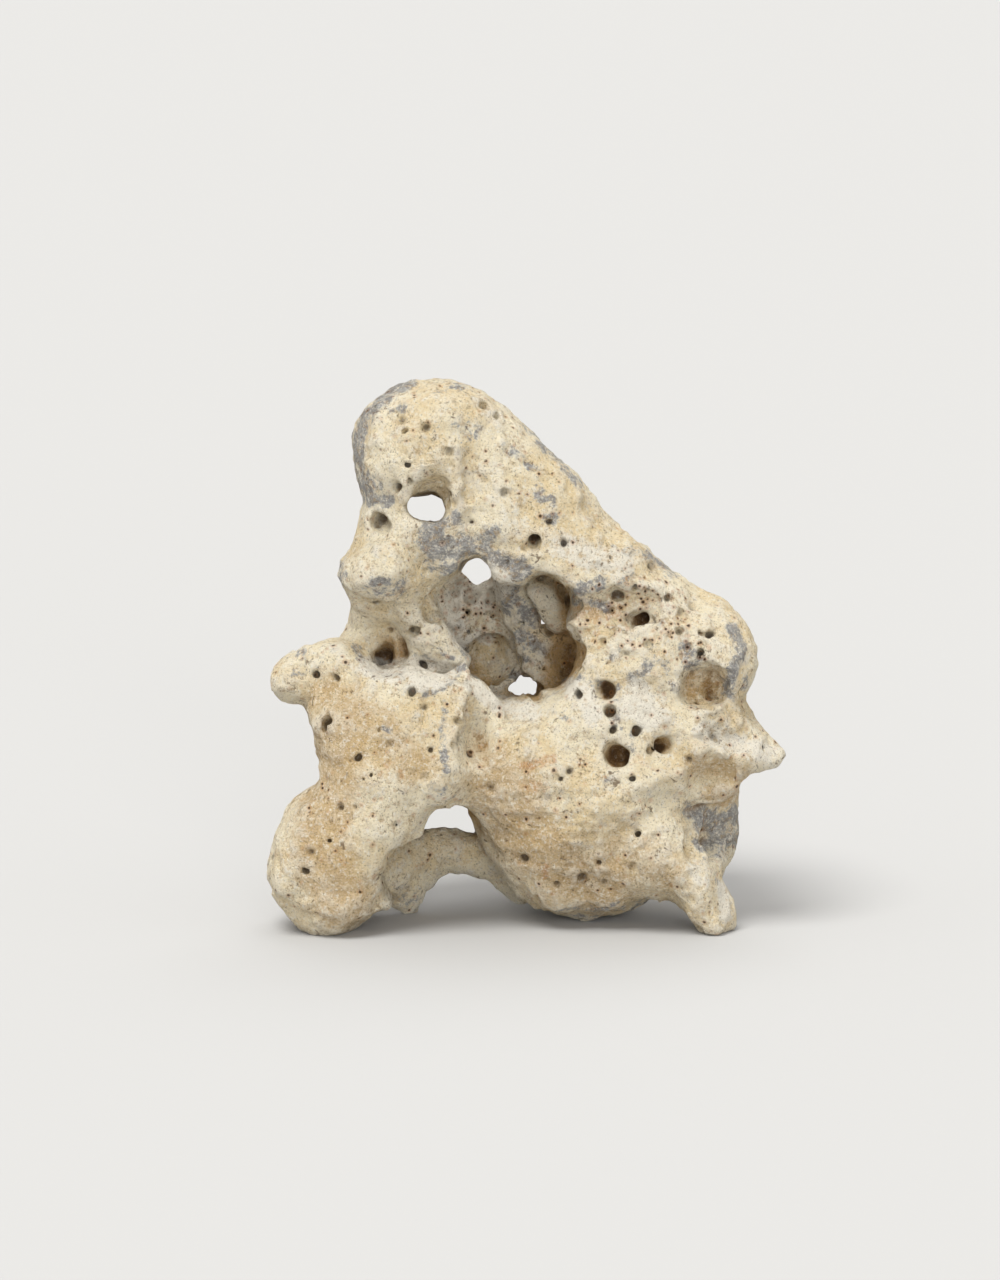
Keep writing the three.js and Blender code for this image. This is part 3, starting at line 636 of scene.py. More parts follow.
def drilled(borings):
    """Each boring as a bone: from a flared mouth where its line of sight meets the stone, in to its depth."""
    sides = [np.array(SIDES[side], float) for side, *_ in borings]
    starts = np.array([b[1] * view[0] + b[2] * view[1] for b, view in zip(borings, sides)])
    into = np.array([view[2] for view in sides])
    along = np.arange(SIGHT_FROM, SIGHT_TO, SIGHT_STEP)
    line = starts[:, None, :] + along[None, :, None] * into[:, None, :]
    met = stone_at([line[..., axis] for axis in range(3)]) <= 0
    bones = []
    for number, (_, _, _, radius, depth, lean_across, lean_up) in enumerate(borings):
        if not met[number].any():
            print("boring", borings[number][:3], "misses the stone")
            continue
        mouth = line[number, met[number].argmax()]
        way = into[number] + lean_across * sides[number][0] + lean_up * sides[number][1]
        way = way / np.linalg.norm(way)
        outer = mouth - 1.2 * radius * way
        end = mouth + (depth - radius) * way
        bones.append(bone(BORING_EDGE, (*outer, radius * 1.2), (*mouth, radius), (*end, radius * 0.9)))
    return bones


def drill_into(field, bones):
    """Takes each boring out of the field in its own window."""
    for form in bones:
        middle, radius = reach_of(form)
        window = window_around(middle, radius + 4)
        taken = distance(form, places_in(window))
        field[window] = take_out(field[window], taken, form["blend"])


bores = drilled(BORINGS + SMALL_BORINGS)
drill_into(field, bores)
bare_rock = field < 0
print(len(bores), "borings drilled")

# %% [markdown]
# ## The skin
#
# Water has scalloped the stone: shallow scoops meet in crisp little ridges. The height of a scoop is the
# size of a noise without its sign, because that has a sharp edge wherever the noise passes through zero. On
# top come low steps, where a plate of the crust has come off, fine swells and small pits. A pit is a ball
# around a random point of a lattice. Most of the stone has a few of them, and the honeycomb on the right
# and the rear lobe have more. Only places close to the surface are worked out, because nothing else shows.

# %% Skin
SCALLOPS = [(19.0, 2.4, 35), (8.0, 1.5, 36), (4.2, 1.0, 37)]
SCALLOP_MEAN = 0.28
ROUGH_SPOTS = [(48, -36, 118, 50), (52, -36, 80, 34), (-20, 34, 120, 34)]
PLATES = [(11.0, 0.45, 38), (6.0, 0.35, 39)]
PLATE_EDGE = 0.08
SKIN = [(5.0, 0.3, 31), (2.6, 0.5, 32)]
NEAR = 5.0
PIT_CELL = 6.4
PIT_RADIUS = 2.2
COMB_CELL = 4.4
COMB_RADIUS = 2.1


def pits(places, cell, radius, share, seed):
    """The radius of the nearest pit less the distance from it, positive inside. Each cell of a lattice has a
    pit near its middle, with half to all of that radius, or none where a random number is over share."""
    scaled = [axis / cell - 0.5 for axis in places]
    first = [np.floor(s).astype(np.int64) for s in scaled]
    deepest = np.full(places[0].shape, -1.0, np.float32)
    for corner in range(8):
        cellular = [f + ((corner >> axis) & 1) for axis, f in enumerate(first)]
        away = 0
        for axis in range(3):
            middle = cellular[axis] + 0.25 * lattice_number(*cellular, seed + axis)
            away = away + (scaled[axis] - middle) ** 2
        size = radius * (0.75 + 0.25 * lattice_number(*cellular, seed + 3))
        there = lattice_number(*cellular, seed + 4) < 2 * share - 1
        deepest = np.maximum(deepest, np.where(there, size - cell * np.sqrt(away), -1.0))
    return deepest


def closeness(places, spots):
    """From 1 at the middle of the nearest spot (x, y, z, radius) to 0 at its radius, and below beyond it."""
    x, y, z = places
    best = np.full(x.shape, -1.0, np.float32)
    for sx, sy, sz, radius in spots:
        away = np.sqrt((x - sx) ** 2 + (y - sy) ** 2 + (z - sz) ** 2)
        best = np.maximum(best, 1 - away / radius)
    return best


def scalloped(places):
    """Scoops that meet in ridges: the size of a noise less its mean, deeper in the rough spots."""
    deeper = 0.6 + 0.45 * noise(places, 45.0, 34) + 0.8 * np.clip(closeness(places, ROUGH_SPOTS), 0, 1)
    scoops = 0
    for size, depth, seed in SCALLOPS:
        scoops = scoops + depth * (np.abs(noise(places, size, seed)) - SCALLOP_MEAN)
    return deeper * scoops


def plates(places):
    """Low steps: a noise cut at zero, with its edge a fraction of a millimetre wide."""
    return sum(
        step * np.clip(noise(places, size, seed) / PLATE_EDGE, -0.5, 0.5) for size, step, seed in PLATES
    )


near = np.nonzero(np.abs(field) < NEAR)
near_places = [(LOW[axis] + STEP * near[axis]).astype(np.float32) for axis in range(3)]
skin = field[near] + scalloped(near_places) + plates(near_places)
for size, height, seed in SKIN:
    skin = skin + height * noise(near_places, size, seed)
comb = np.clip(3 * (closeness(near_places, COMB_SPOTS) + 0.25 * noise(near_places, 6.0, 41)), 0, 1)
few = 0.13 + 0.13 * noise(near_places, 30.0, 42)
skin = soft_max(skin, pits(near_places, PIT_CELL, PIT_RADIUS, few, 50), 0.5)
skin = soft_max(skin, pits(near_places, COMB_CELL, COMB_RADIUS, 0.75 * comb, 60), 0.4)
field[near] = skin
print(len(skin), "grid points lie near the surface")

# %% [markdown]
# ## From the field to a mesh
#
# The surface lies where the field changes sign. Every cell of the grid that it passes through gets one
# vertex, at the middle of the places where the cell's edges cross zero. Every edge that crosses zero gets
# one face, between the four cells around it. This gives squares of even size, where cutting the cells into
# triangles would give slivers. The feet are worn flat first, level with the ground.

# %% Mesh
REST_LEVEL = 0.6
AXES = (0, 1, 2)


def crossings(inside, axis):
    """The grid edges along an axis whose two ends differ, as three index arrays."""
    near = [slice(None)] * 3
    far = [slice(None)] * 3
    near[axis], far[axis] = slice(0, -1), slice(1, None)
    return np.nonzero(inside[tuple(near)] != inside[tuple(far)])


def surface_of(field):
    """Vertices in millimetres and four-cornered faces of the zero surface, faces pointing out of the rock."""
    inside = field < 0
    count = np.array(field.shape)
    place_sum = np.zeros((np.prod(count), 3), np.float32)
    place_count = np.zeros(np.prod(count), np.int32)
    quads = []
    for axis in AXES:
        i = np.array(crossings(inside, axis))
        keep = np.all((i > 0) & (i < (count - 2)[:, None]), axis=0)
        i = i[:, keep]
        other = i.copy()
        other[axis] += 1
        a, b = field[tuple(i)], field[tuple(other)]
        place = i.astype(np.float32).T
        place[:, axis] += a / (a - b)
        one, two = (axis + 1) % 3, (axis + 2) % 3
        corners = []
        for back_one, back_two in ((0, 0), (1, 0), (1, 1), (0, 1)):
            cell = i.copy()
            cell[one] -= back_one
            cell[two] -= back_two
            corners.append(np.ravel_multi_index(tuple(cell), tuple(count)))
        for corner in corners:
            for part in AXES:
                place_sum[:, part] += np.bincount(corner, place[:, part], len(place_count))
            place_count += np.bincount(corner, minlength=len(place_count)).astype(np.int32)
        quad = np.stack(corners, 1)
        quads.append(np.where((a < b)[:, None], quad, quad[:, ::-1]))
    used = np.nonzero(place_count)[0]
    number = np.full(len(place_count), -1)
    number[used] = np.arange(len(used))
    vertices = LOW + STEP * place_sum[used] / place_count[used, None]
    return vertices, number[np.concatenate(quads)]


def neighbours(quads):
    """The pairs of faces on the two sides of an edge. An edge where four faces meet, as at a bubble that just
    touches the surface, joins none of them."""
    sides = np.sort(np.stack([quads, np.roll(quads, -1, axis=1)], 2).reshape(-1, 2), axis=1)
    key = sides[:, 0] * (quads.max() + 1) + sides[:, 1]
    order = np.argsort(key, kind="stable")
    _, first, count = np.unique(key[order], return_index=True, return_counts=True)
    first = first[count == 2]
    return np.stack([order[first], order[first + 1]], 1) // 4


def largest_piece(vertices, quads):
    """Keeps the faces that hang together in the largest piece: labels spread to the smallest neighbour's."""
    pairs = neighbours(quads)
    label = np.arange(len(quads))
    while True:
        lowest = label[pairs].min(1)
        new = label.copy()
        for side in (0, 1):
            np.minimum.at(new, pairs[:, side], lowest)
        new = new[new]
        if np.array_equal(new, label):
            break
        label = new
    quads = quads[label == np.bincount(label).argmax()]
    used, quads = np.unique(quads, return_inverse=True)
    return vertices[used], quads.reshape(-1, 4)


ground = REST_LEVEL - places_in(WHOLE)[2]
field = np.maximum(field, ground).astype(np.float32)
vertices, quads = largest_piece(*surface_of(field))
print(len(vertices), "vertices and", len(quads), "squares")

# %% [markdown]
# ## One Blender object
#
# The mesh is in the place of the field, so it is moved onto the solid, whose box is centred, with its feet
# on the ground. A Decimate modifier then gives the flat stretches larger triangles and keeps the small ones
# at rims and pits. It is applied, so the object holds a plain mesh.

# %% Piece
TRIANGLES = 190_000
FIELD_TO_SOLID = np.array([1.3, -9.5, -REST_LEVEL])


def mesh_object(name, vertices, faces):
    """A Blender object at the origin, with its vertices in metres."""
    mesh = bpy.data.meshes.new(name)
    mesh.from_pydata((vertices * MM).tolist(), [], faces.tolist())
    mesh.validate()
    thing = bpy.data.objects.new(name, mesh)
    bpy.context.scene.collection.objects.link(thing)
    return thing


def vertex_values(mesh, what, size):
    """A vertex property of every vertex as an array with size columns."""
    values = np.zeros(len(mesh.vertices) * size, np.float32)
    mesh.vertices.foreach_get(what, values)
    return values.reshape(-1, size)


def drop_folded_faces(mesh):
    """Takes out pairs of triangles on the same three corners, left where a fold has been collapsed."""
    corners = np.zeros(len(mesh.loops), np.int32)
    mesh.loops.foreach_get("vertex_index", corners)
    corners = np.sort(corners.reshape(-1, 3), axis=1)
    _, which, count = np.unique(corners, axis=0, return_inverse=True, return_counts=True)
    folded = np.nonzero(count[which.ravel()] > 1)[0].tolist()
    work = bmesh.new()
    work.from_mesh(mesh)
    work.faces.ensure_lookup_table()
    bmesh.ops.delete(work, geom=[work.faces[number] for number in folded], context="FACES")
    work.to_mesh(mesh)
    work.free()


def with_fewer_triangles(thing, triangles):
    """Collapses edges until that many triangles are left, and keeps the result as the object's own mesh."""
    thing.data.calc_loop_triangles()
    thinning = thing.modifiers.new("fewer triangles", "DECIMATE")
    thinning.ratio = triangles / len(thing.data.loop_triangles)
    thinning.use_collapse_triangulate = True
    seen = thing.evaluated_get(bpy.context.evaluated_depsgraph_get())
    finished = bpy.data.meshes.new_from_object(seen)
    drop_folded_faces(finished)
    thing.modifiers.clear()
    thing.data = finished


shift = np.array([0, 0, solid_low[2]]) + FIELD_TO_SOLID
rock = mesh_object("weathered_rock", vertices + shift, quads)
with_fewer_triangles(rock, TRIANGLES)
rock.data.polygons.foreach_set("use_smooth", np.ones(len(rock.data.polygons), bool))
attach(rock, "root")
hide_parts(NODE)
print("the field is moved by", np.round(shift, 2), "mm;", len(rock.data.polygons), "triangles are left")

# %% [markdown]
# ## Where the colours go
#
# The real stone is cream, ochre in its hollows, and stained grey in ragged patches, and it has rusty and tan
# places. Painted shade darkens its pits, hollows and deep recesses, under the horn and in the shoulder's
# hollow, and painted light makes its ridges, lit rims and faces and the rear lobe paler. What changes slowly
# from place to place is kept at the mesh's vertices as attributes, which the material reads later and
# roughens with its own noise.
#
# A hollow is where much rock lies around a point of the surface. To find it, the rock is counted as 1 and
# the air as 0, and blurred: a flat face gets a half, a hollow gets more, and a ridge gets less.

# %% Hollows
BLUR_GRID = 2


def blurred(values, radius):
    """The mean over a box of that radius, in grid steps, taken twice along each axis from running sums."""
    width = 2 * radius + 1
    for axis in AXES * 2:
        pad = [(radius + 1, radius) if a == axis else (0, 0) for a in AXES]
        sums = np.cumsum(np.pad(values, pad, mode="edge"), axis=axis, dtype=np.float64)
        ends = np.arange(width, sums.shape[axis])
        values = ((sums.take(ends, axis) - sums.take(ends - width, axis)) / width).astype(np.float32)
    return values


def rock_around(radius_mm, rock_or_air):
    """How much more than half of the space around each vertex is rock, from -1 to 1."""
    steps = max(1, round(radius_mm / STEP / BLUR_GRID))
    mean = blurred(rock_or_air, steps)
    return 2 * between_cells(mean, LOW, STEP * BLUR_GRID, spots) - 1


coarse = (slice(None, None, BLUR_GRID),) * 3
skinned, bare = (field < 0).astype(np.float32)[coarse], bare_rock.astype(np.float32)[coarse]
spots = list((vertex_values(rock.data, "co", 3) / MM - shift).T)
normals = vertex_values(rock.data, "normal", 3)
# These measures place painted shade in pits, hollows and deep recesses, and a painted highlight on ridges.
edge, hollow, cave = rock_around(2, skinned), rock_around(6, bare), rock_around(26, bare)
print("hollow spans", round(float(hollow.min()), 2), "to", round(float(hollow.max()), 2))

# %% [markdown]
# ## Strokes of colour
#
# The stains of the front, and the painted light and painted shade among them, were noted in the picture as
# strokes of a brush: a radius, a strength, and points across and up. A stroke colours only what faces the
# front. The sides and the back, which the picture doesn't show, get patches from slow noise in the same share.

# %% Strokes
# Each stroke of colour is a radius, a strength, and its points across and up in the front view.
GREY_STROKES = [
    # down the left of the crown
    (2.4, 1.0, [(-47, 214), (-55, 209), (-63, 201), (-67, 194), (-67, 187),
        (-67, 180), (-66, 172), (-62, 167), (-55, 167)]),
    (2.0, 0.8, [(-50, 203), (-54, 201)]),
    (2.2, 0.7, [(-59, 172), (-63, 177)]),
    (1.6, 0.7, [(-70, 191), (-70, 184)]),
    # under the small way through
    (4.2, 1.0, [(-37, 157), (-39, 150), (-34, 147), (-24, 149)]),
    (2.6, 1.0, [(-24, 149), (-17, 151), (-15, 154)]),
    (3.0, 1.0, [(-16, 145), (-9, 142), (-3, 140)]),
    (3.2, 0.9, [(-7, 135), (-7, 126), (-1, 124), (2, 119)]),
    (1.8, 1.0, [(-29, 161), (-29, 159)]),
    (3.2, 0.8, [(-41, 145), (-37, 141), (-32, 141), (-27, 144)]),
    # under the bulge of the left wall
    (2.6, 0.9, [(-61, 133), (-55, 132), (-50, 133)]),
    (1.6, 0.7, [(-75, 142), (-73, 134)]),
    # along the slab
    (1.8, 0.7, [(-9, 188), (-3, 183), (2, 179)]),
    (1.8, 0.8, [(-1, 198), (6, 189), (13, 181), (20, 173)]),
    (4.0, 0.45, [(-27, 196), (-22, 194)]),
    (3.0, 0.7, [(5, 169), (8, 165), (8, 160)]),
    (2.0, 0.5, [(-37, 210), (-22, 213)]),
    (2.2, 0.7, [(34, 147), (49, 145), (54, 142), (57, 138)]),
    # along the grooves under the slab
    (2.8, 0.8, [(19, 131), (25, 133), (28, 135)]),
    (1.8, 0.8, [(20, 127), (31, 125)]),
    (1.6, 0.6, [(35, 135), (41, 137)]),
    # round the shoulder
    (2.2, 0.9, [(80, 116), (83, 111), (83, 105), (80, 98), (79, 91)]),
    (1.6, 0.6, [(85, 98), (85, 92)]),
    (2.6, 0.9, [(61, 109), (64, 103)]),
    (1.4, 0.8, [(64, 103), (68, 105)]),
    (2.4, 0.5, [(51, 116), (54, 124)]),
    # the lines across the right face
    (1.8, 0.8, [(54, 103), (51, 104), (45, 100), (39, 95), (35, 91), (34, 85), (33, 79)]),
    (1.4, 0.6, [(54, 103), (55, 97), (58, 92)]),
    (1.3, 0.6, [(31, 103), (36, 109), (42, 113)]),
    (1.8, 0.7, [(16, 96), (21, 97), (25, 95), (29, 95)]),
    (2.0, 0.5, [(43, 78), (41, 70)]),
    (2.4, 0.4, [(24, 87), (23, 79)]),
    (1.2, 0.7, [(11, 84), (14, 81)]),
    (4.0, 0.35, [(69, 79), (81, 74)]),
    # along the rim of the left lobe
    (1.3, 0.9, [(-69, 108), (-64, 101), (-59, 99), (-52, 98), (-50, 100)]),
    (1.5, 0.9, [(-45, 105), (-39, 103), (-37, 102)]),
    (1.2, 0.7, [(-37, 108), (-30, 105)]),
    (1.7, 0.8, [(-27, 101), (-30, 97), (-33, 94), (-41, 90)]),
    (2.4, 0.5, [(-90, 107), (-91, 99)]),
    # down the seam beside the left lobe
    (1.4, 0.8, [(-33, 87), (-34, 71), (-32, 61)]),
    (3.4, 0.5, [(-39, 53), (-30, 52)]),
    (2.0, 0.4, [(-71, 60), (-68, 59)]),
    (1.3, 0.8, [(-57, 77), (-55, 76)]),
    # on the column in the window
    (2.4, 0.9, [(-3, 113), (0, 111), (6, 108)]),
    (1.8, 0.8, [(-2, 105), (4, 102)]),
    (1.6, 1.0, [(-6, 98), (-4, 97)]),
    (1.4, 0.9, [(-28, 119), (-26, 113), (-26, 109), (-24, 105)]),
    (1.6, 0.8, [(15, 127), (23, 127), (31, 124)]),
    # in the cavity under the horn
    (4.4, 1.0, [(69, 41), (73, 39), (81, 38)]),
    (3.0, 0.9, [(64, 44), (69, 43)]),
    (3.4, 1.0, [(76, 33), (83, 33), (83, 43)]),
    (2.2, 0.8, [(67, 31), (72, 29), (77, 27)]),
    (1.2, 0.5, [(69, 28), (72, 21), (76, 9)]),
    # along the underside
    (3.6, 0.5, [(13, 2), (31, 3), (45, 6)]),
    (3.6, 0.5, [(-50, 9), (-45, 6)]),
    (2.6, 0.6, [(33, 57), (31, 55)]),
]
RUST_STROKES = [
    # on the middle body
    (1.8, 1.0, [(-2, 62), (3, 63), (9, 65)]),
    (2.6, 0.8, [(-1, 54), (5, 54)]),
    (1.2, 1.0, [(7, 22), (6, 18)]),
    # in the honeycomb
    (3.4, 0.8, [(19, 123), (27, 123), (34, 123)]),
    (3.0, 0.5, [(45, 128), (51, 126)]),
    # on the rear lobe
    (3.0, 0.7, [(-29, 126), (-23, 125)]),
    (3.0, 0.6, [(-15, 125), (-11, 123)]),
    # round the holes of the right face
    (1.8, 0.8, [(29, 92), (31, 88)]),
    (2.4, 0.6, [(43, 65), (47, 63)]),
    (2.0, 0.6, [(64, 73), (69, 71)]),
    (1.4, 0.6, [(45, 99), (51, 98)]),
    (2.0, 0.5, [(47, 83), (49, 82)]),
    (2.2, 0.5, [(37, 43), (41, 42)]),
]
# Pale chalk, and in places painted light: paler stone that stands for the light on lit rims and faces, and on
# the rear lobe.
CHALK_AND_LIGHT_STROKES = [
    # along the lip of the dish: a painted highlight where light from above falls on the rim
    (3.4, 1.0, [(-63, 101), (-55, 99), (-45, 101), (-33, 99)]),
    (2.6, 1.0, [(-45, 94), (-35, 96)]),
    # on the web and the middle body: painted light on their pale tops
    (2.4, 1.0, [(-23, 95), (-18, 90), (-13, 86)]),
    (4.0, 0.7, [(-8, 85), (1, 83)]),
    (3.4, 0.8, [(17, 93), (23, 90), (25, 81)]),
    # on the right face
    (4.0, 0.9, [(40, 85), (43, 92), (47, 80)]),
    (3.0, 0.6, [(51, 88), (53, 82)]),
    # on the slab
    (5.0, 0.7, [(13, 149), (25, 144), (37, 142)]),
    (4.4, 0.5, [(-11, 168), (-3, 156)]),
    # on the rear lobe: painted light, as the lamps barely reach it
    (4.5, 1.0, [(-25, 133), (-18, 137), (-12, 134), (-19, 129)]),
    (3.6, 0.9, [(-32, 128), (-29, 120), (-27, 113)]),
    (2.4, 0.8, [(-20, 114), (-16, 112)]),
    # on the horn and the leg: painted light on their lit faces
    (4.0, 0.7, [(69, 76), (81, 71), (95, 67)]),
    (2.4, 0.8, [(77, 14), (78, 2)]),
    (3.0, 0.6, [(65, 21), (69, 16)]),
]
# Tan strokes: the stone's tan tone, and painted shade under the horn and in the shoulder's hollow.
TAN_AND_SHADE_STROKES = [
    # the left lobe and its foot
    (11.0, 0.9, [(-73, 80), (-77, 64), (-79, 48), (-83, 28), (-73, 8)]),
    (9.0, 0.8, [(-79, 88), (-59, 76), (-47, 64)]),
    # the middle body
    (12.0, 0.9, [(-11, 56), (-3, 36), (13, 20), (29, 16)]),
    (9.0, 0.7, [(37, 28), (53, 20)]),
    # under the horn: painted shade
    (4.0, 0.8, [(65, 63), (77, 61), (83, 58)]),
    (4.0, 0.9, [(73, 50), (81, 50)]),
    # in the shoulder's hollow: tan, with painted shade
    (5.0, 0.7, [(65, 94), (73, 96)]),
]


def stroke_strength(strokes, across, up):
    """The strongest stroke at each place: its strength, less by how many of its radii it is away."""
    strongest = np.zeros(across.shape, np.float32)
    for radius, strength, points in strokes:
        for (ax, ay), (bx, by) in zip(points, points[1:]):
            dx, dy = bx - ax, by - ay
            t = np.clip(((across - ax) * dx + (up - ay) * dy) / (dx * dx + dy * dy), 0, 1)
            away = np.hypot(across - ax - t * dx, up - ay - t * dy) / radius
            strongest = np.maximum(strongest, strength * np.clip(1.5 - 0.75 * away, 0, 1))
    return strongest


def painted(strokes, elsewhere):
    """Strokes on what faces the front, and another array on the rest."""
    return blend_between(elsewhere, stroke_strength(strokes, spots[0], up_in_view(spots)), facing_front)


def slow_patches(size, share, seed):
    """Patches of about that size that cover about that share of the surface, from 0 to 1."""
    wave = noise(spots, size, seed) + 0.5 * noise(spots, size * 0.4, seed + 1)
    return np.clip(0.5 + 1.6 * (wave + share - 0.6), 0, 1)


view_way = np.array([0, -COS, SIN])
facing_front = np.clip(0.5 + 4 * (normals @ view_way), 0, 1)
# hollow, cave and edge place painted shade and painted highlights; the tan and chalk strokes hold painted
# shade and painted light in places.
paint = {
    "edge": edge,
    "hollow": hollow,
    "cave": cave,
    "grey": painted(GREY_STROKES, 0.9 * slow_patches(13, 0.28, 71)),
    "rust": painted(RUST_STROKES, 0.7 * slow_patches(9, 0.12, 73)),
    "chalk_and_light": painted(CHALK_AND_LIGHT_STROKES, 0.7 * slow_patches(17, 0.3, 75)),
    "tan_and_shade": painted(TAN_AND_SHADE_STROKES, 0.8 * slow_patches(30, 0.4, 77)),
    "comb": np.clip(3 * (closeness(spots, COMB_SPOTS) + 0.1), 0, 1),
}
for name, values in paint.items():
    layer = rock.data.attributes.new(name, "FLOAT", "POINT")
    layer.data.foreach_set("value", np.ascontiguousarray(values, np.float32))
print("attributes:", ", ".join(paint))

# %% [markdown]
# ## Shader maths as Python
#
# A material is a tree of nodes. Two small classes keep it readable: a value wraps a node's output and can
# be added, multiplied and compared like a number, and a finish makes any node from its type, its settings
# and its inputs.

# %% Node helpers


class Value:
    """An output socket that takes part in Python's sums. Each operator adds one Math node."""

    def __init__(self, finish, socket):
        self.finish = finish
        self.socket = socket

    def maths(self, operation, *inputs):
        return self.finish.node("ShaderNodeMath", {"operation": operation}, *inputs)

    def __add__(self, other):
        return self.maths("ADD", self, other)

    def __sub__(self, other):
        return self.maths("SUBTRACT", self, other)

    def __rsub__(self, other):
        return self.maths("SUBTRACT", other, self)

    def __mul__(self, other):
        return self.maths("MULTIPLY", self, other)

    def largest(self, other):
        return self.maths("MAXIMUM", self, other)

    def ramp(self, low, high):
        """0 at low and 1 at high, smooth between them. With low above high it runs the other way."""
        settings = {"interpolation_type": "SMOOTHSTEP"}
        return self.finish.node("ShaderNodeMapRange", settings, self, low, high, 0.0, 1.0)

    __radd__ = __add__
    __rmul__ = __mul__


class Finish:
    """A material with an empty node tree, and the means to fill it."""

    def __init__(self, name):
        self.material = bpy.data.materials.new(name)
        self.material.use_nodes = True
        self.tree = self.material.node_tree
        self.tree.nodes.clear()

    def node(self, kind, settings, *inputs, output=0, **named):
        """Makes a node, sets it up, then fills its inputs in order or by name."""
        made = self.tree.nodes.new(kind)
        for key, value in settings.items():
            setattr(made, key, value)
        for key, value in [*enumerate(inputs), *named.items()]:
            self.fill(made.inputs[key], value)
        return Value(self, made.outputs[output]) if made.outputs else None

    def fill(self, socket, value):
        if isinstance(value, Value):
            self.tree.links.new(value.socket, socket)
        elif value is not None:
            socket.default_value = value

    def attribute(self, name):
        return self.node("ShaderNodeAttribute", {"attribute_name": name}, output="Fac")

    def noise(self, place, size, detail=2.0, roughness=0.5):
        """Noise from 0 to 1 with swells of about that many millimetres."""
        settings = {"noise_dimensions": "3D"}
        named = {"Vector": place, "Scale": 1 / size, "Detail": detail, "Roughness": roughness}
        return self.node("ShaderNodeTexNoise", settings, **named)

    def swirl(self, place, size):
        """A noise with three parts, each from 0 to 1, that bends a place."""
        named = {"Vector": place, "Scale": 1 / size, "Detail": 3.0}
        return self.node("ShaderNodeTexNoise", {"noise_dimensions": "3D"}, output="Color", **named)

    def cells(self, place, size, output, feature="F1"):
        """Random cells of about that many millimetres: the distance or the colour of the nearest."""
        named = {"Vector": place, "Scale": 1 / size, "Randomness": 1.0}
        return self.node("ShaderNodeTexVoronoi", {"feature": feature}, output=output, **named)

    def mix(self, below, above, share):
        """One colour over another, by a share from 0 to 1."""
        settings = {"data_type": "RGBA", "blend_type": "MIX", "clamp_factor": True}
        made = self.tree.nodes.new("ShaderNodeMix")
        for key, value in settings.items():
            setattr(made, key, value)
        self.fill(made.inputs["Factor"], share)
        self.fill(made.inputs[6], below)
        self.fill(made.inputs[7], above)
        return Value(self, made.outputs[2])


def colour(red, green, blue):
    """The linear colour for a red, green and blue from 0 to 255 as they look on a screen."""
    screen = np.array([red, green, blue]) / 255
    linear = np.where(screen <= 0.04045, screen / 12.92, ((screen + 0.055) / 1.055) ** 2.4)
    return (*linear.tolist(), 1.0)


# %% [markdown]
# ## Weathered limestone
#
# Seen close, the stone is chalk with sand in it. Its cream ground drifts to buff and to a greyer white.
# Ridges are the palest: worn chalk with a painted highlight. The grey of old lichen sits in patches with
# ragged edges, faint at the rim and dark at the heart. Hollows are ochre, partly their own colour and partly
# painted shade, and the deep ones, the pits and the creases are darkened with painted shade. Pale strokes add
# painted light, and tan strokes painted shade, in places. Over all of it lie dark grains and pale crystals,
# short cracks, and pinholes with rusty rims and painted shade in their middles. All patterns are read from the
# place on the object, in millimetres, so that nothing stretches or has a seam.

# %% Limestone
CREAM = colour(248, 236, 206)
BUFF = colour(232, 208, 160)
SAND = colour(198, 174, 138)
CHALK_AND_HIGHLIGHT_WHITE = colour(246, 240, 226)
WARM_GREY = colour(220, 212, 198)
TAN_AND_SHADE_BROWN = colour(198, 164, 112)
OCHRE_AND_SHADE = colour(208, 160, 84)
DEEP_SHADE_BROWN = colour(122, 84, 36)
LICHEN = colour(130, 132, 137)
LICHEN_FAINT = colour(182, 181, 179)
LICHEN_DARK = colour(84, 78, 72)
RUST = colour(196, 134, 70)
PIT_SHADE_BROWN = colour(52, 34, 20)
GRIT = colour(112, 90, 64)


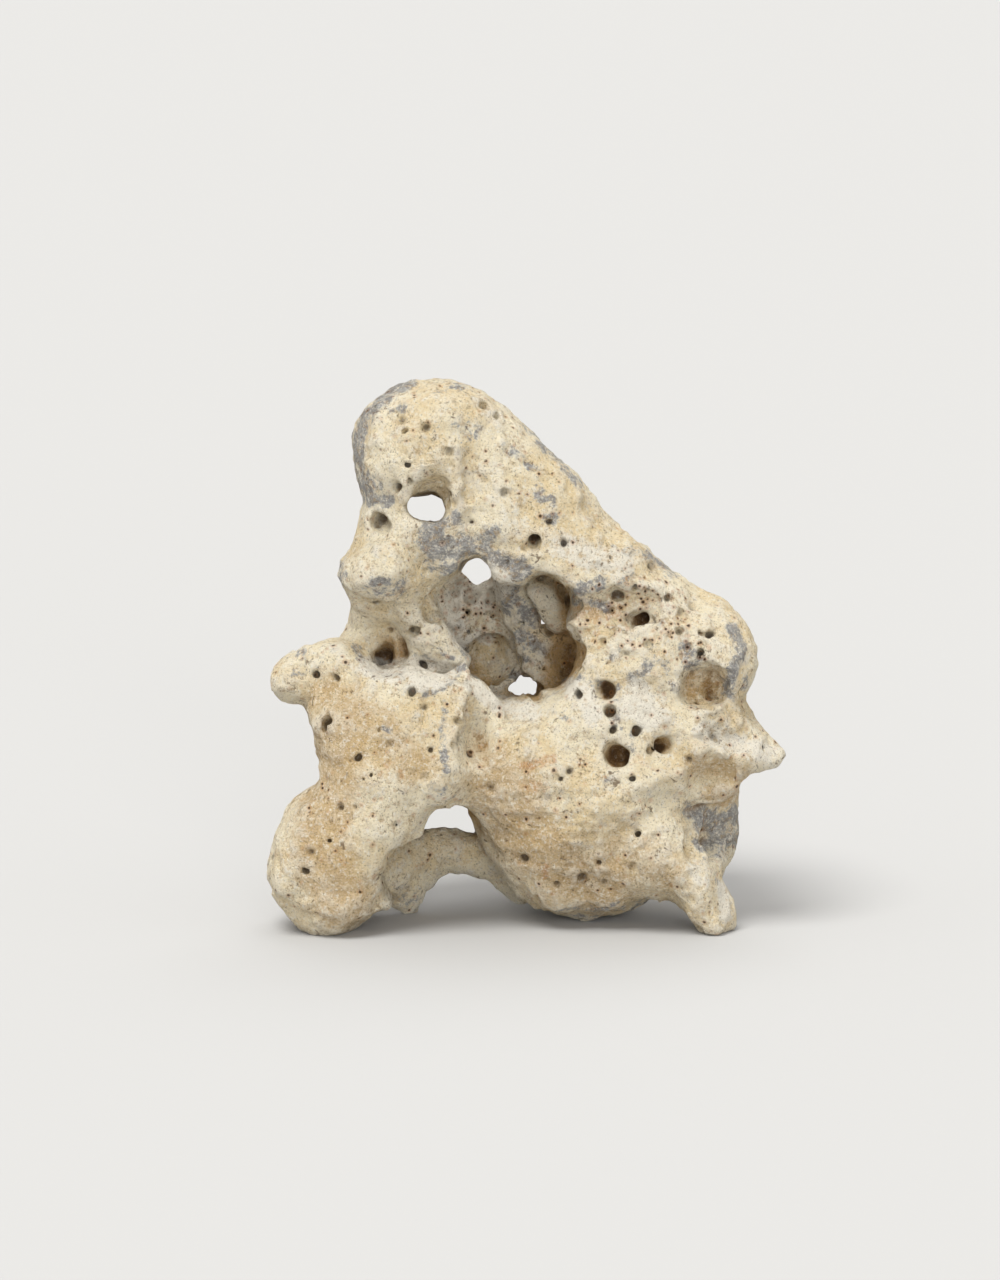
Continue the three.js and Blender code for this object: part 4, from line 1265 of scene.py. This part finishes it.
def limestone():
    finish = Finish("weathered limestone")
    object_place = finish.node("ShaderNodeTexCoord", {}, output="Object")
    place = finish.node("ShaderNodeVectorMath", {"operation": "SCALE"}, object_place, Scale=1 / MM)
    hollow = finish.attribute("hollow")
    edge = finish.attribute("edge")
    cave = finish.attribute("cave")

    drift = finish.noise(place, 24, 4, 0.6)
    mottle = finish.noise(place, 6.5, 6, 0.7)
    ragged = finish.noise(place, 2.8, 7, 0.78)
    torn = finish.noise(place, 5.0, 8, 0.74)
    fleck = finish.noise(place, 1.7, 5, 0.8)
    grain = finish.noise(place, 0.9, 3, 0.9)

    ground = finish.mix(CREAM, BUFF, drift.ramp(0.42, 0.62) * 0.8)
    ground = finish.mix(ground, WARM_GREY, mottle.ramp(0.52, 0.66) * 0.6)
    # Tan, with painted shade under the horn and in the shoulder's hollow.
    tan_and_shade = (finish.attribute("tan_and_shade") + (torn - 0.5) * 1.6).ramp(0.2, 1.1)
    ground = finish.mix(ground, TAN_AND_SHADE_BROWN, tan_and_shade * 0.8)
    # Ridges and rims, where little rock lies around, are made paler: worn chalk and a painted highlight.
    ridge_wear_and_highlight = (ragged * 0.4 - edge).ramp(0.22, 0.5)
    ground = finish.mix(ground, CHALK_AND_HIGHLIGHT_WHITE, ridge_wear_and_highlight * 0.4)
    rust = (finish.attribute("rust") * 0.8 + (ragged - 0.5) * 2.0).ramp(0.35, 0.95)
    ground = finish.mix(ground, RUST, rust * 0.6)

    freckled = finish.noise(place, 26, 3, 0.6).ramp(0.50, 0.62) * ragged.ramp(0.56, 0.66)
    grey = finish.attribute("grey")
    faint = (grey + (torn - 0.5) * 3.0).ramp(0.30, 0.90)
    ground = finish.mix(ground, LICHEN_FAINT, faint.largest(freckled * 0.8) * 0.55)
    heart = (grey + (torn - 0.5) * 4.2 + (grain - 0.5) * 1.0).ramp(0.66, 0.86)
    lichen = finish.mix(LICHEN, LICHEN_FAINT, ragged.ramp(0.50, 0.58) * 0.8)
    lichen = finish.mix(lichen, LICHEN_DARK, (mottle * 0.5 + grain * 0.5).ramp(0.50, 0.60) * 0.8)
    ground = finish.mix(ground, lichen, heart * 0.8)

    # Ochre in hollows and in the deep recesses of the window and the arches: partly the stone's own colour,
    # partly painted shade.
    ochre_and_shade = (hollow * 0.9 + cave * 2.6 + (torn - 0.5) * 1.2).ramp(0.1, 0.8)
    ground = finish.mix(ground, OCHRE_AND_SHADE, ochre_and_shade * 0.75)
    # A dark brown in the deep hollows: painted shade.
    deep_hollow_shade = (hollow * 1.6 + cave * 0.3 + (torn - 0.5) * 1.2).ramp(0.65, 1.2)
    ground = finish.mix(ground, DEEP_SHADE_BROWN, deep_hollow_shade * 0.9)
    # Pale chalk, with painted light on lit rims and faces and on the rear lobe.
    chalk_and_light = (finish.attribute("chalk_and_light") + (ragged - 0.5) * 1.6).ramp(0.35, 0.75)
    ground = finish.mix(ground, CHALK_AND_HIGHLIGHT_WHITE, chalk_and_light * 0.85)

    worn = finish.noise(place, 15, 3, 0.6).ramp(0.56, 0.44)
    ground = finish.mix(ground, SAND, ragged.ramp(0.48, 0.40) * (worn * 0.6 + 0.2))
    ground = finish.mix(ground, GRIT, fleck.ramp(0.43, 0.36) * (worn * 0.6 + 0.25))
    ground = finish.mix(ground, CHALK_AND_HIGHLIGHT_WHITE, fleck.ramp(0.54, 0.60) * (0.7 - ochre_and_shade * 0.5))
    ground = finish.mix(ground, GRIT, grain.ramp(0.45, 0.33) * 0.7)
    ground = finish.mix(ground, CHALK_AND_HIGHLIGHT_WHITE, grain.ramp(0.55, 0.68) * (0.6 - ochre_and_shade * 0.4))
    # Pits and creases, where rock lies close all round, are darkened: painted shade.
    ground = finish.mix(ground, PIT_SHADE_BROWN, (edge + (ragged - 0.5) * 0.5).ramp(0.28, 0.62) * 0.75)

    crack = cracks(finish, place, ragged)
    ground = finish.mix(ground, GRIT, crack * 0.8)
    # The pinholes have rusty rims, and their middles are darkened: painted shade.
    holes = pinholes(finish, place, grain)
    ground = finish.mix(ground, RUST, holes["rim"] * 0.35)
    ground = finish.mix(ground, PIT_SHADE_BROWN, holes["hole"] * 0.9)

    height = grain * 0.9 + fleck * 2.0 + ragged * 2.8 + mottle * 0.8 - holes["hole"] * 0.7 - crack * 0.5
    bumped = finish.node("ShaderNodeBump", {}, Strength=1.0, Distance=MM, Height=height)
    inputs = {"Base Color": ground, "Roughness": 0.93, "Specular IOR Level": 0.25, "Normal": bumped}
    shader = finish.node("ShaderNodeBsdfPrincipled", {}, **inputs)
    finish.node("ShaderNodeOutputMaterial", {}, shader)
    return finish.material


def cracks(finish, place, ragged):
    """Short dark lines: the edges between large random cells, where another noise lets them through."""
    bent = finish.node("ShaderNodeVectorMath", {"operation": "SCALE"}, finish.swirl(place, 5.0), Scale=7.0)
    moved = finish.node("ShaderNodeVectorMath", {"operation": "ADD"}, place, bent)
    away = finish.cells(moved, 17, "Distance", "DISTANCE_TO_EDGE")
    return away.ramp(0.03, 0.01) * finish.noise(place, 8, 2).ramp(0.58, 0.66) * ragged.ramp(0.46, 0.54)


def pinholes(finish, place, grain):
    """Small round holes of two sizes, in cells chosen at random, as masks of the hole and its rim. The hole's
    mask carries painted shade.
    """
    comb = finish.attribute("comb")
    where = finish.noise(place, 13, 2).ramp(0.50, 0.66)
    masks = {"hole": None, "rim": None}
    for size, radius in ((2.6, 0.26), (5.5, 0.16)):
        away = finish.cells(place, size, "Distance") + (grain - 0.5) * 0.12
        chosen = finish.node("ShaderNodeSeparateColor", {}, finish.cells(place, size, "Color"))
        there = (where * 0.2 + comb * 0.6 + 0.1 - chosen).ramp(0.0, 0.12)
        for name, low, high in (("hole", radius, radius * 0.55), ("rim", radius * 2.2, radius)):
            mask = away.ramp(low, high) * there
            masks[name] = mask if masks[name] is None else masks[name].largest(mask)
    return masks


rock.data.materials.clear()
rock.data.materials.append(limestone())
print("the finish has", len(rock.data.materials[0].node_tree.nodes), "nodes")

# %% [markdown]
# ## Floor, light and camera
#
# The stone stands on a pale floor that runs out of sight, in a soft even light from above and from the
# front. Each light is a sun with a wide disc, which makes soft shadows and lights the whole floor alike. A
# weaker one comes from behind, for the parts deep inside, and the sky fills the rest. The view looks down
# by nine degrees through a long lens, so near and far parts are drawn almost alike.

# %% Floor
FLOOR_HALF = 14.0
FLOOR = colour(177, 177, 177)


def floor():
    """A square of the floor, level with the stone's feet."""
    corners = np.array([(-1, -1), (1, -1), (1, 1), (-1, 1)]) * FLOOR_HALF / MM
    plane = mesh_object("floor", np.column_stack([corners, np.zeros(4)]), np.array([[0, 1, 2, 3]]))
    finish = Finish("pale floor")
    inputs = {"Base Color": FLOOR, "Roughness": 0.95, "Specular IOR Level": 0.1}
    shader = finish.node("ShaderNodeBsdfPrincipled", {}, **inputs)
    finish.node("ShaderNodeOutputMaterial", {}, shader)
    plane.data.materials.append(finish.material)
    return plane


floor()

# %% Light
SKY = colour(250, 248, 244)
SKY_STRENGTH = 0.8


def sun(name, towards, disc, strength, tint):
    """A sun in that direction from the stone, with a disc of that many degrees."""
    light = bpy.data.lights.new(name, "SUN")
    light.angle = math.radians(disc)
    light.energy = strength
    light.color = tint
    thing = bpy.data.objects.new(name, light)
    thing.rotation_euler = Vector(towards).to_track_quat("Z", "Y").to_euler()
    bpy.context.scene.collection.objects.link(thing)


sun("top light", (-0.3, -0.5, 1.0), 30, 2.9, (1.0, 0.99, 0.96))
sun("front light", (0.1, -1.0, 0.22), 25, 1.6, (1.0, 1.0, 1.0))
sun("back light", (0.1, 0.6, 1.0), 40, 0.8, (1.0, 0.99, 0.98))
world = bpy.data.worlds.new("sky")
world.use_nodes = True
world.node_tree.nodes["Background"].inputs["Color"].default_value = SKY
world.node_tree.nodes["Background"].inputs["Strength"].default_value = SKY_STRENGTH
bpy.context.scene.world = world
bpy.context.scene.view_settings.view_transform = "Standard"

# %% Camera
DISTANCE = 3.0
SEEN_HEIGHT = 0.512
AIM = np.array([-0.0101, 0.0, 0.111])
SENSOR = 36.0

camera = bpy.data.objects.new("camera", bpy.data.cameras.new("camera"))
camera.data.sensor_width = SENSOR
camera.data.lens = SENSOR * DISTANCE / SEEN_HEIGHT
camera.location = AIM + DISTANCE * np.array([0, -COS, SIN])
camera.rotation_euler = (math.radians(90) - LOOK_DOWN, 0, 0)
camera.data.clip_end = 100
bpy.context.scene.collection.objects.link(camera)
bpy.context.scene.camera = camera
print("the lens is", round(camera.data.lens), "mm long")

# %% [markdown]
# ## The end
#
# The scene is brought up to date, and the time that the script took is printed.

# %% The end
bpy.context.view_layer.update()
print("the script took", round(time.perf_counter() - started), "seconds")
